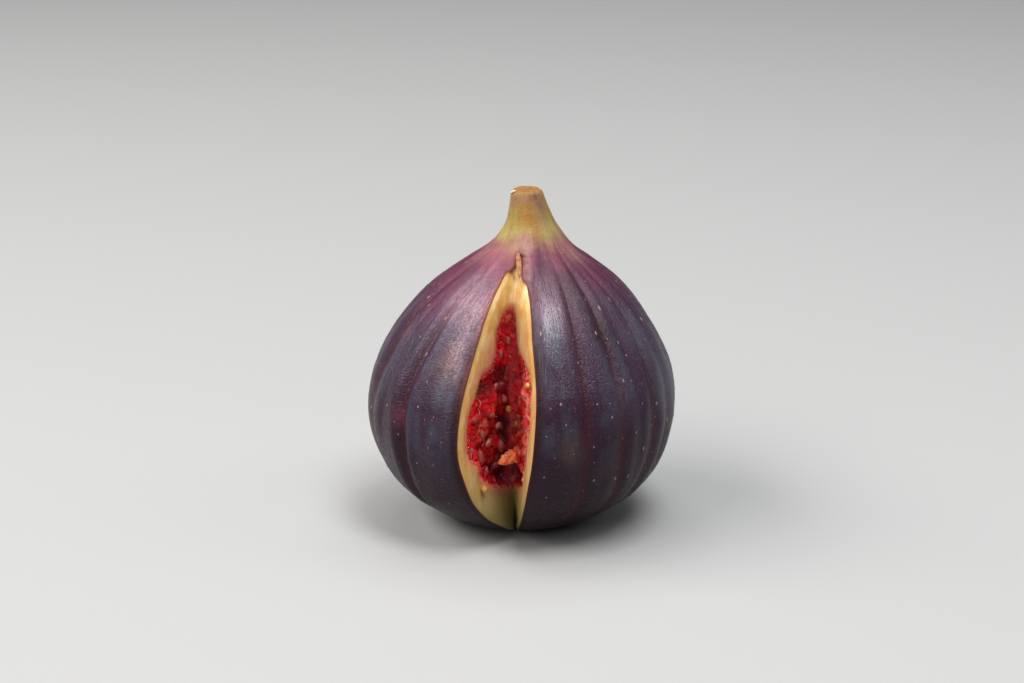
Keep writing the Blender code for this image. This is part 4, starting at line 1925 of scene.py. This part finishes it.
    def build(self, fit: BoxFit) -> None:
        """Make the sheet as one closed piece with its own bake map.

        Args:
            fit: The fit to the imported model\'s box.
        """
        heights = np.linspace(self.low, self.high, self.rows)
        share = np.linspace(0.0, 1.0, self.columns // 2 + 1)
        run = np.column_stack([heights, np.zeros((self.rows, 2))])
        wander = 0.75 * self.noise.at(run, 3.2) + 0.35 * self.noise.at(run + 40.0, 1.1)
        wander *= smoothstep(self.low, self.low + 3.0, heights) * smoothstep(38.0, 33.0, heights)
        tall = np.repeat(heights[:, None], len(share), axis=1)
        outs, lifts, kept = {}, {}, {}
        for side in Side:
            line = self.faces.borders[side]
            reach = np.interp(heights, line[:, 0], line[:, 1], left=0.0, right=0.0) + self.overlap
            outs[side] = reach[:, None] * share
            lifts[side], kept[side] = self.sheet(side, outs[side], tall)
        for key in ("tone", "warm", "seed"):
            mean = sum(marks[key][:, :1] for marks in kept.values()) / 2.0
            for side, marks in kept.items():
                marks[key] += (mean - marks[key][:, :1]) * (1.0 - smoothstep(0.0, 1.6, outs[side]))
        turns = {Side.LEFT: slice(None, None, -1), Side.RIGHT: slice(1, None)}
        draped = {side: self.drape(side, outs[side], tall, lifts[side], wander) for side in Side}
        upper, under = (np.concatenate([draped[s][k][:, turns[s]] for s in Side], axis=1) for k in (0, 1))
        marks = {}
        for key in ("tone", "warm", "seed"):
            values = np.concatenate([kept[side][key][:, turns[side]] for side in Side], axis=1).ravel()
            marks[key] = np.concatenate([values, values])
        rows, columns = upper.shape[:2]
        points = np.concatenate([upper.reshape(-1, 3), under.reshape(-1, 3)])
        shape = Shape(points, slab_faces(rows, columns), marks, map=self.bake_map(rows, columns))
        shape.make("wet_flesh", fit, "pulp", PulpFinish("wet_flesh").material())


@dataclass(frozen=True)
class SeedSpot:
    """One seed.

    Attributes:
        side: The face that it lies on.
        out: Its distance from the knife line.
        height: Its height.
        turn: The direction of its point on the face, in degrees up from the skin's side.
        size: Its length and width.
        lift: How far its middle stands off the flesh.
        soak: How much flesh clings to it, from 0 to 1.
    """

    side: Side
    out: float
    height: float
    turn: float
    size: tuple[float, float]
    lift: float
    soak: float


@dataclass
class Seeds:
    """The small hard seeds: tan ones half sunk in the flesh, and loose golden ones."""

    faces: CutFaces
    seed: int = 5
    scattered: int = 5
    gap: float = 2.4
    flatness: float = 0.78
    tan: tuple[SeedSpot, ...] = on_faces(
        SeedSpot,
        left=(
            (1.5, 33.7, 70.0, (1.4, 1.25), 0.75, 0.02), (3.2, 24.0, 60.0, (1.6, 1.3), 0.9, 0.1),
            (4.7, 19.7, 170.0, (1.9, 1.2), 0.8, 0.15), (7.9, 17.6, 160.0, (2.2, 1.3), 0.7, 0.2),
            (10.8, 16.2, 85.0, (2.2, 1.2), 0.7, 0.1), (4.7, 16.2, 75.0, (2.3, 1.5), 1.0, 0.25),
            (10.5, 19.9, 60.0, (1.8, 1.2), 0.7, 0.2), (7.3, 22.3, 20.0, (2.0, 1.2), 0.7, 0.35),
            (5.7, 26.8, -40.0, (1.3, 0.9), 0.8, 0.1), (12.2, 22.8, 30.0, (1.5, 1.0), 0.5, 0.35),
            (8.6, 12.9, 110.0, (1.5, 1.0), 0.4, 0.45),
        ),
        right=(
            (5.0, 24.0, 120.0, (1.7, 1.1), 0.6, 0.2), (8.5, 20.5, 60.0, (1.6, 1.0), 0.5, 0.35),
            (6.6, 28.9, 80.0, (1.4, 1.0), 0.5, 0.3), (9.8, 16.0, 100.0, (1.6, 1.0), 0.5, 0.4),
        ),
    )
    golden: tuple[SeedSpot, ...] = on_faces(
        SeedSpot,
        left=(
            (2.6, 22.2, 30.0, (1.25, 1.12), 1.5, 0.0), (12.3, 11.2, 70.0, (1.5, 1.3), 0.5, 0.0),
        ),
        right=(
            (13.9, 29.7, 10.0, (1.25, 1.0), 0.5, 0.0), (1.6, 19.4, 80.0, (1.1, 0.9), 0.9, 0.15),
        ),
    )

    def one(self, spot: SeedSpot, rng: np.random.Generator) -> Shape:
        """Draw one seed: a rounded drop with a short point and a faint keel.

        Args:
            spot: The seed.
            rng: The source of chance.

        Returns:
            Its shape.
        """
        sphere, faces = ball(3)
        x, y, z = sphere.T
        length, width = spot.size[0] / 2.0, spot.size[1] / 2.0
        girth = 1.0 - 0.3 * smoothstep(0.1, 1.0, x) + 0.05 * np.cos(3.0 * np.arctan2(z, y))
        long, wide = x * length * (1.0 + 0.12 * (x > 0.9)), y * width * girth
        thick = z * width * self.flatness * girth
        angle = math.radians(spot.turn)
        out = spot.out + long * math.cos(angle) - wide * math.sin(angle)
        tall = spot.height + long * math.sin(angle) + wide * math.cos(angle)
        spread = self.faces.place(spot.side, out, tall, thick + spot.lift)
        here = spot.side, np.full(len(x), spot.out), np.full(len(x), spot.height), spot.lift
        soak = spot.soak + smoothstep(0.5, -0.6, z) * 0.8 * (spot.soak > 0.0) + rng.normal(0.0, 0.03, len(x))
        points = self.faces.on_bed(*here) + spread - self.faces.place(*here)
        return Shape(points, faces, {"soak": np.clip(soak, 0.0, 1.0)})

    def scatter(self, rng: np.random.Generator) -> list[SeedSpot]:
        """Choose places for the small seeds that fill in between the others.

        Args:
            rng: The source of chance.

        Returns:
            The seeds.
        """
        spots: list[SeedSpot] = []
        for side in Side:
            taken = [(spot.out, spot.height) for spot in self.tan + self.golden if spot.side is side]
            for out, height in self.faces.scatter(side, rng, self.scattered, 1.3, self.gap, taken):
                size, turn, soak = rng.uniform(1.1, 1.6), rng.uniform(0.0, 360.0), rng.uniform(0.4, 0.8)
                lift = rng.uniform(0.35, 0.75)
                spots.append(SeedSpot(side, float(out), float(height), turn, (size, size * 0.68), lift, soak))
        return spots

    def build(self, fit: BoxFit) -> None:
        """Make the tan seeds and the golden seeds as two pieces.

        Args:
            fit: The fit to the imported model\'s box.
        """
        rng = np.random.default_rng(self.seed)
        tan = SeedFinish("tan_seed", (0.4, 0.125, 0.075), (0.24, 0.05, 0.036))
        gold = SeedFinish("golden_seed", (0.62, 0.3, 0.05), (0.45, 0.18, 0.025))
        kinds = (("seeds_tan", self.tan + tuple(self.scatter(rng)), tan), ("seeds_golden", self.golden, gold))
        for name, spots, finish in kinds:
            Shape.joined([self.one(spot, rng) for spot in spots]).make(name, fit, "seed", finish.material())


@dataclass
class Fibres:
    """Fine pale threads that hang across the wet flesh: partly real fibres, partly painted glints."""

    faces: CutFaces
    seed: int = 31
    count: int = 14
    thickness: tuple[float, float] = (0.02, 0.036)

    def build(self, fit: BoxFit) -> None:
        """Make the threads as one piece.

        Args:
            fit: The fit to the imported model\'s box.
        """
        rng = np.random.default_rng(self.seed)
        t = np.linspace(0.0, 1.0, 9)
        swell = np.sin(np.pi * t)
        shapes: list[Shape] = []
        scatter = self.faces.scatter
        spots = [(side, *spot) for side in Side for spot in scatter(side, rng, self.count, 0.9, 0.9)]
        for side, out, height in spots:
            angle, length = rng.uniform(0.0, 2.0 * math.pi), rng.uniform(0.9, 2.4)
            thick, arch, bend = rng.uniform(*self.thickness), rng.uniform(0.2, 0.45), rng.normal(0.0, 0.14)
            path_out = out + length * (t - 0.5) * math.cos(angle) - bend * swell * math.sin(angle)
            path_tall = height + length * (t - 0.5) * math.sin(angle) + bend * swell * math.cos(angle)
            path = self.faces.on_bed(side, np.maximum(path_out, 0.1), path_tall, 0.3 + arch * swell)
            points, faces = tube(path, thick * (0.5 + np.sin(np.pi * np.clip(t, 0.08, 0.92))), 5)
            shapes.append(Shape(points, faces, even_marks(len(points), tone=0.0, warm=0.0)))
        # Pale threads: partly real fibres, partly painted glints on the wet flesh.
        pale = PulpFinish("thread_pulp", pale=(0.85, 0.42, 0.35))
        Shape.joined(shapes).make("pulp_threads", fit, "pulp", pale.material())


@dataclass
class TornLump:
    """The torn tuft of flesh that stands out low in the slit."""

    faces: CutFaces
    seed: int = 41
    tip: tuple[float, float, float] = (8.4, 14.5, 1.9)
    middle: tuple[float, float, float] = (4.4, 14.9, 2.5)
    bend: tuple[float, float, float] = (0.8, 14.6, 2.6)
    root: tuple[float, float, float] = (3.4, 14.2, 1.0)
    girth: Keys = ((0.0, 0.26), (0.08, 0.62), (0.25, 0.95), (0.5, 1.1), (0.8, 1.1), (1.0, 0.55))
    rows: int = 70
    around: int = 40
    lobes: int = 16
    strands: int = 26

    def spine(self) -> Array:
        """The tuft's middle line, from its tip over the left face to its root on the right one."""
        spots = [(Side.LEFT, *spot) for spot in (self.tip, self.middle, self.bend)]
        return smooth_path([self.faces.place(*spot) for spot in (*spots, (Side.RIGHT, *self.root))], 8)

    def core(self) -> Shape:
        """Draw the lumpy core of the tuft."""
        spine, noise = self.spine(), self.faces.noise
        along = np.linspace(0.0, 1.0, self.rows)
        steps = np.linspace(0.0, 1.0, len(spine))
        path = np.stack([np.interp(along, steps, axis) for axis in spine.T], axis=1)
        points, faces = tube(path, keyed(self.girth, along), self.around)
        ring = np.concatenate([np.repeat(path, self.around, axis=0), path[[0, -1]]])
        share = np.concatenate([np.repeat(along, self.around), [0.0, 1.0]])
        swell = 1.0 + 0.6 * noise.at(points, 0.9) + 0.45 * noise.at(points + 20.0, 0.42)
        points = ring + (points - ring) * swell[:, None]
        points += 0.14 * noise.shove(points, 0.3)
        knobs = noise.at(points + 50.0, 0.55)
        warm = np.clip(0.9 * smoothstep(0.42, 0.08, share) + 0.6 * smoothstep(0.08, 0.45, knobs), 0.0, 1.0)
        gold = smoothstep(0.32, 0.08, share) * smoothstep(-0.3, 0.2, knobs)
        tone = np.clip(0.24 - 0.5 * knobs, 0.02, 0.6)
        return Shape(points, faces, {"tone": tone, "warm": warm, "seed": gold})

    def lobe(self, centre: Array, rng: np.random.Generator) -> Shape:
        """Draw one rounded lobe.

        Args:
            centre: Its middle.
            rng: The source of chance.

        Returns:
            Its shape.
        """
        sphere, faces = ball(2)
        size = rng.uniform(0.12, 0.28)
        stretch = np.array([rng.uniform(1.0, 1.5), rng.uniform(0.8, 1.1), rng.uniform(0.7, 1.0)])
        swell = 1.0 + 0.2 * self.faces.noise.at(sphere + rng.uniform(0.0, 90.0, 3), 0.7)
        warm = float(rng.random() < 0.4) * rng.uniform(0.4, 1.0)
        marks = even_marks(len(sphere), tone=rng.uniform(0.05, 0.45), warm=warm, seed=0.0)
        return Shape(centre + sphere * swell[:, None] * stretch * size, faces, marks)

    def strand(self, root: Array, rng: np.random.Generator) -> Shape:
        """Draw one short strand.

        Args:
            root: The point where it starts.
            rng: The source of chance.

        Returns:
            Its shape.
        """
        t = np.linspace(0.0, 1.0, 7)
        aim = unit(rng.normal(0.0, 1.0, 3) + np.array([-0.6, -0.8, 0.1]))
        length, bend = rng.uniform(0.5, 1.0), rng.normal(0.0, 0.15, 3)
        path = root + aim * (length * t)[:, None] + bend * np.sin(np.pi * t)[:, None]
        points, faces = tube(path, rng.uniform(0.06, 0.11) * (1.1 - 0.6 * t), 6)
        tone, warm = rng.uniform(0.0, 0.4), rng.uniform(0.2, 0.9)
        return Shape(points, faces, even_marks(len(points), tone=tone, warm=warm, seed=0.0))

    def build(self, fit: BoxFit) -> None:
        """Make the tuft as one piece of overlapping lobes and short strands.

        Args:
            fit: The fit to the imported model\'s box.
        """
        rng = np.random.default_rng(self.seed)
        core = self.core()
        shapes = [core]
        for count, draw in ((self.lobes, self.lobe), (self.strands, self.strand)):
            shapes += [draw(core.points[rng.integers(0, len(core.points))], rng) for _ in range(count)]
        tuft = PulpFinish("torn_pulp", orange=(0.95, 0.23, 0.07), seed=(0.95, 0.52, 0.11))
        Shape.joined(shapes).make("torn_pulp", fit, "pulp", tuft.material())


@dataclass
class TornStrip:
    """The dry orange strip of skin that hangs down into the top of the slit."""

    form: FigForm
    noise: Noise = field(default_factory=lambda: Noise(71))
    heights: Keys = ((0.0, 47.7), (0.35, 46.6), (0.7, 45.4), (1.0, 44.2))
    sides: Keys = ((0.0, -0.62), (0.35, -0.55), (0.7, -0.42), (1.0, -0.25))
    sinks: Keys = ((0.0, 0.05), (0.35, 0.1), (0.7, 0.55), (1.0, 1.35))
    widths: Keys = ((0.0, 0.18), (0.2, 0.42), (0.6, 0.46), (0.85, 0.34), (1.0, 0.08))
    thickness: float = 0.2
    rows: int = 34
    around: int = 18

    def build(self, fit: BoxFit) -> None:
        """Make the strip as a thin curled blade with ragged edges.

        Args:
            fit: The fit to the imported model\'s box.
        """
        t = np.linspace(0.0, 1.0, self.rows)[:, None]
        height, side, width = keyed(self.heights, t), keyed(self.sides, t), keyed(self.widths, t)
        depth = -self.form.radius_at(height) + keyed(self.sinks, t)
        turn = np.linspace(0.0, 2.0 * np.pi, self.around, endpoint=False)
        x = side + width * np.cos(turn)
        y = depth + self.thickness * np.sin(turn) * np.minimum(1.0, width / 0.3)
        y = y + 0.3 * width * np.cos(turn) ** 2
        points = np.stack([x, y, np.repeat(height, self.around, axis=1)], axis=-1).reshape(-1, 3)
        points += 0.07 * self.noise.shove(points * np.array([1.0, 1.0, 0.3]), 0.35)
        rings = closed_rings(self.rows, self.around)
        faces = [tuple(face) for face in cells(rings)[:, [0, 3, 2, 1]].tolist()]
        faces += [tuple(rings[0, :-1].tolist()), tuple(rings[-1, -2::-1].tolist())]
        finish = DryFinish("dry_strip", (0.48, 0.19, 0.042), (0.18, 0.045, 0.015), 0.5, 1800.0)
        Shape(points, faces).make("torn_strip", fit, "rind", finish.material())


@dataclass
class SapCrumb:
    """The crumb of dried white sap on the edge of the stem's cut end."""

    seed: int = 81
    azimuth: float = -66.0
    height: float = 56.65
    reach: float = 2.55
    lean: float = 0.78
    flat: tuple[float, float, float] = (1.25, 0.85, 0.62)
    blobs: tuple[tuple[float, float, float, float], ...] = (
        (-0.05, 0.0, -0.05, 0.24), (0.28, -0.05, 0.16, 0.26), (0.55, 0.05, 0.28, 0.2),
        (0.15, 0.2, 0.12, 0.22), (-0.22, 0.05, -0.2, 0.16),
    )

    def build(self, fit: BoxFit) -> None:
        """Make the crumb as a cluster of rough grains.

        Args:
            fit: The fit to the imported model\'s box.
        """
        rng = np.random.default_rng(self.seed)
        noise = Noise(self.seed)
        sphere, faces = ball(3)
        turn = math.radians(self.azimuth)
        base = np.array([self.lean + self.reach * math.sin(turn), -self.reach * math.cos(turn), self.height])
        shapes = []
        for *place, size in self.blobs:
            bumps = 1.0 + 0.3 * noise.at(sphere + rng.uniform(0.0, 50.0, 3), 0.55)
            grain = sphere * bumps[:, None] * size * np.array(self.flat)
            shapes.append(Shape(base + np.array(place) + grain, faces))
        finish = DryFinish("dried_sap", (0.64, 0.56, 0.4), (0.42, 0.31, 0.17), 0.6, 2400.0)
        Shape.joined(shapes).make("sap_crumb", fit, "rind", finish.material())


@dataclass
class EyeScales:
    """The small dry scales that close the eye under the base.

    Attributes:
        seed: The seed of the source of chance.
        rings: Each ring's radius, its number of scales, their length and their height.
        thickness: A scale's thickness.
    """

    seed: int = 91
    rings: tuple[tuple[float, int, float, float], ...] = (
        (2.45, 13, 1.3, 0.34), (1.65, 10, 1.15, 0.62), (0.95, 7, 0.95, 0.86),
    )
    thickness: float = 0.1

    def scale(
        self, reach: float, turn: float, length: float, height: float, rng: np.random.Generator,
    ) -> Shape:
        """Draw one pointed scale that lies inward over the eye.

        Args:
            reach: How far from the eye's middle it starts.
            turn: Its direction, in radians.
            length: Its length.
            height: The height where it starts.
            rng: The source of chance.

        Returns:
            Its shape.
        """
        along = np.linspace(0.0, 1.0, 9)[:, None]
        across = np.linspace(-1.0, 1.0, 7)
        tip = length * rng.uniform(0.85, 1.1)
        width = 0.48 * length * np.sqrt(np.maximum(1.0 - along**1.6, 0.0)) + 0.02
        radius = reach - along * tip
        droop = height - 0.22 * np.sin(np.pi * along * 0.8) + rng.normal(0.0, 0.03)
        side = width * across
        x = radius * math.cos(turn) - side * math.sin(turn)
        y = radius * math.sin(turn) + side * math.cos(turn)
        z = np.maximum(droop + 0.14 * across**2, 0.03)
        low = np.stack([x, y, z], axis=-1).reshape(-1, 3)
        high = low + np.array([0.0, 0.0, self.thickness])
        return Shape(np.vstack([low, high]), slab_faces(*side.shape))

    def build(self, fit: BoxFit) -> None:
        """Make the scales as one piece.

        Args:
            fit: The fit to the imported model\'s box.
        """
        rng = np.random.default_rng(self.seed)
        shapes = []
        for reach, count, length, height in self.rings:
            for i in range(count):
                turn = 2.0 * math.pi * (i + 0.5 * (count % 2)) / count + rng.normal(0.0, 0.05)
                shapes.append(self.scale(reach, turn, length, height, rng))
        finish = DryFinish("eye_scale", (0.23, 0.07, 0.045), (0.09, 0.022, 0.022), 0.6, 1800.0)
        Shape.joined(shapes).make("eye_scales", fit, "skin", finish.material())


@dataclass
class Lenticels:
    """The small corky pores: low pale specks all over the skin."""

    relief: SkinRelief
    seed: int = 61
    tries: int = 3000
    count: int = 400
    gap: float = 2.5
    proud: float = 0.015
    waist: float = 19.0
    girth: float = 26.0

    def build(self, fit: BoxFit) -> None:
        """Make the specks as one piece.

        Args:
            fit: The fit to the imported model\'s box.
        """
        rng = np.random.default_rng(self.seed)
        disc, faces = ball(1)
        form = self.relief.form
        azimuth, height = rng.uniform(-180.0, 180.0, self.tries), rng.uniform(3.5, 48.0, self.tries)
        radius = form.radius_at(height)
        past_left = azimuth > keyed(form.left_edge, height) - 3.0
        in_slit = past_left & (azimuth < keyed(form.right_edge, height) + 3.0)
        chosen = ~in_slit & (rng.random(self.tries) < radius / self.girth)
        spots = self.relief.on_skin(azimuth, height, self.proud)
        kept: list[int] = []
        for i in np.flatnonzero(chosen):
            near = np.linalg.norm(spots[kept] - spots[i], axis=1) if kept else np.array([FAR])
            if near.min() > self.gap * rng.uniform(0.5, 1.2):
                kept.append(int(i))
        shapes: list[Shape] = []
        for i in kept[: self.count]:
            size, long = 0.07 + 0.13 * rng.random() ** 1.8, rng.uniform(1.0, 2.0)
            up = long * (1.0 + 0.8 * float(smoothstep(30.0, 44.0, np.array(height[i]))))
            slope = math.sqrt(max(0.05, 1.0 - min(0.93, abs(height[i] - self.waist) / 30.0) ** 2))
            angles = azimuth[i] + np.degrees(disc[:, 0] * size / radius[i])
            base = self.relief.on_skin(angles, height[i] + disc[:, 1] * size * up * slope, self.proud)
            lift = unit(base - np.array([0.0, 0.0, self.waist])) * (disc[:, 2] * size * 0.4)[:, None]
            shapes.append(Shape(base + lift, faces))
        speck = DryFinish("lenticel", (0.34, 0.205, 0.18), (0.08, 0.038, 0.042), 0.5, 420.0)
        Shape.joined(shapes).make("lenticels", fit, "skin", speck.material())


@dataclass(frozen=True)
class Lamp:
    """A soft box that faces the fruit.

    Attributes:
        name: Its name.
        azimuth: Where it stands round the fruit, in degrees from the viewer, positive to the right.
        elevation: Its height over the floor, in degrees.
        distance: How far it stands off, in metres.
        size: Its width and height, in metres.
        power: Its power in watts.
        colour: Its colour.
    """

    name: str
    azimuth: float
    elevation: float
    distance: float
    size: tuple[float, float]
    power: float
    colour: Colour = (1.0, 1.0, 1.0)

    def build(self, target: Vector) -> None:
        """Place the lamp and aim it.

        Args:
            target: The point that it faces.
        """
        light = bpy.data.lights.new(self.name, "AREA")
        light.shape = "RECTANGLE"
        light.size, light.size_y = self.size
        light.energy = self.power
        light.color = self.colour
        turn, rise = math.radians(self.azimuth), math.radians(self.elevation)
        away = Vector((math.sin(turn) * math.cos(rise), -math.cos(turn) * math.cos(rise), math.sin(rise)))
        lamp = put(self.name, light)
        lamp.location = target + away * self.distance
        lamp.rotation_euler = away.to_track_quat("Z", "Y").to_euler()


@dataclass(frozen=True)
class Studio:
    """The camera, the pale floor and the soft light, in metres."""

    camera_place: tuple[float, float, float] = (-0.00167, -0.39002, 0.14975)
    camera_pitch: float = 17.0
    lens: float = 85.0
    floor_size: float = 8.0
    aim_height: float = 0.028
    world_colour: Colour = (0.8, 0.82, 0.86)
    world_strength: float = 0.13
    lamps: tuple[Lamp, ...] = (
        Lamp("window", -76.0, 45.0, 0.85, (0.94, 0.38), 9.5, (1.0, 0.98, 0.96)),
        Lamp("strip", 36.0, 69.0, 0.8, (0.24, 0.46), 5.6, (0.97, 0.985, 1.0)),
        Lamp("front", -27.0, 30.0, 1.2, (0.6, 0.5), 2.8, (1.0, 0.98, 0.96)),
        Lamp("side", 88.0, 36.0, 1.1, (0.4, 0.5), 1.3, (0.94, 0.97, 1.0)),
        Lamp("overhead", 170.0, 70.0, 1.0, (0.8, 0.6), 5.2, (0.96, 0.98, 1.0)),
    )

    def camera(self) -> None:
        """Make the camera, level and pitched down."""
        data = bpy.data.cameras.new("camera")
        data.lens = self.lens
        data.sensor_width = 36.0
        data.clip_start = 0.01
        eye = put("camera", data)
        eye.location = self.camera_place
        eye.rotation_euler = (math.radians(90.0 - self.camera_pitch), 0.0, 0.0)
        bpy.context.scene.camera = eye

    def floor(self) -> None:
        """Make the floor."""
        half = self.floor_size / 2.0
        mesh = bpy.data.meshes.new("floor")
        corners = [(-half, -half, 0.0), (half, -half, 0.0), (half, half, 0.0), (-half, half, 0.0)]
        mesh.from_pydata(corners, [], [(0, 1, 2, 3)])
        mesh.materials.append(FloorFinish().material())
        put("floor", mesh)

    def build(self) -> None:
        """Make the camera, the floor, the world and the lamps."""
        self.camera()
        self.floor()
        scene = bpy.context.scene
        scene.view_settings.view_transform = "Standard"
        world = bpy.data.worlds.new("studio")
        world.use_nodes = True
        sky = world.node_tree.nodes["Background"]
        sky.inputs["Color"].default_value = (*self.world_colour, 1.0)
        sky.inputs["Strength"].default_value = self.world_strength
        scene.world = world
        for lamp in self.lamps:
            lamp.build(Vector((0.0, 0.0, self.aim_height)))


def main() -> None:
    """Build the studio, then each sub-assembly in order, and report each one."""
    logging.basicConfig(level=logging.INFO, format="%(name)s: %(message)s")
    Studio().build()
    form = FigForm()
    faces, relief = CutFaces(form), SkinRelief(form)
    body = FigBody(form, relief, faces)
    fit = body.build()
    LOG.info("%s is in place", type(body).__name__)
    pieces = (
        Jelly(faces), Florets(faces, Side.LEFT, 3), Florets(faces, Side.RIGHT, 4, paleness=0.15),
        Seeds(faces), Fibres(faces), TornLump(faces), TornStrip(form), SapCrumb(), EyeScales(),
        Lenticels(relief),
    )
    for piece in pieces:
        piece.build(fit)
        LOG.info("%s is in place", type(piece).__name__)


if __name__ == "__main__":
    main()
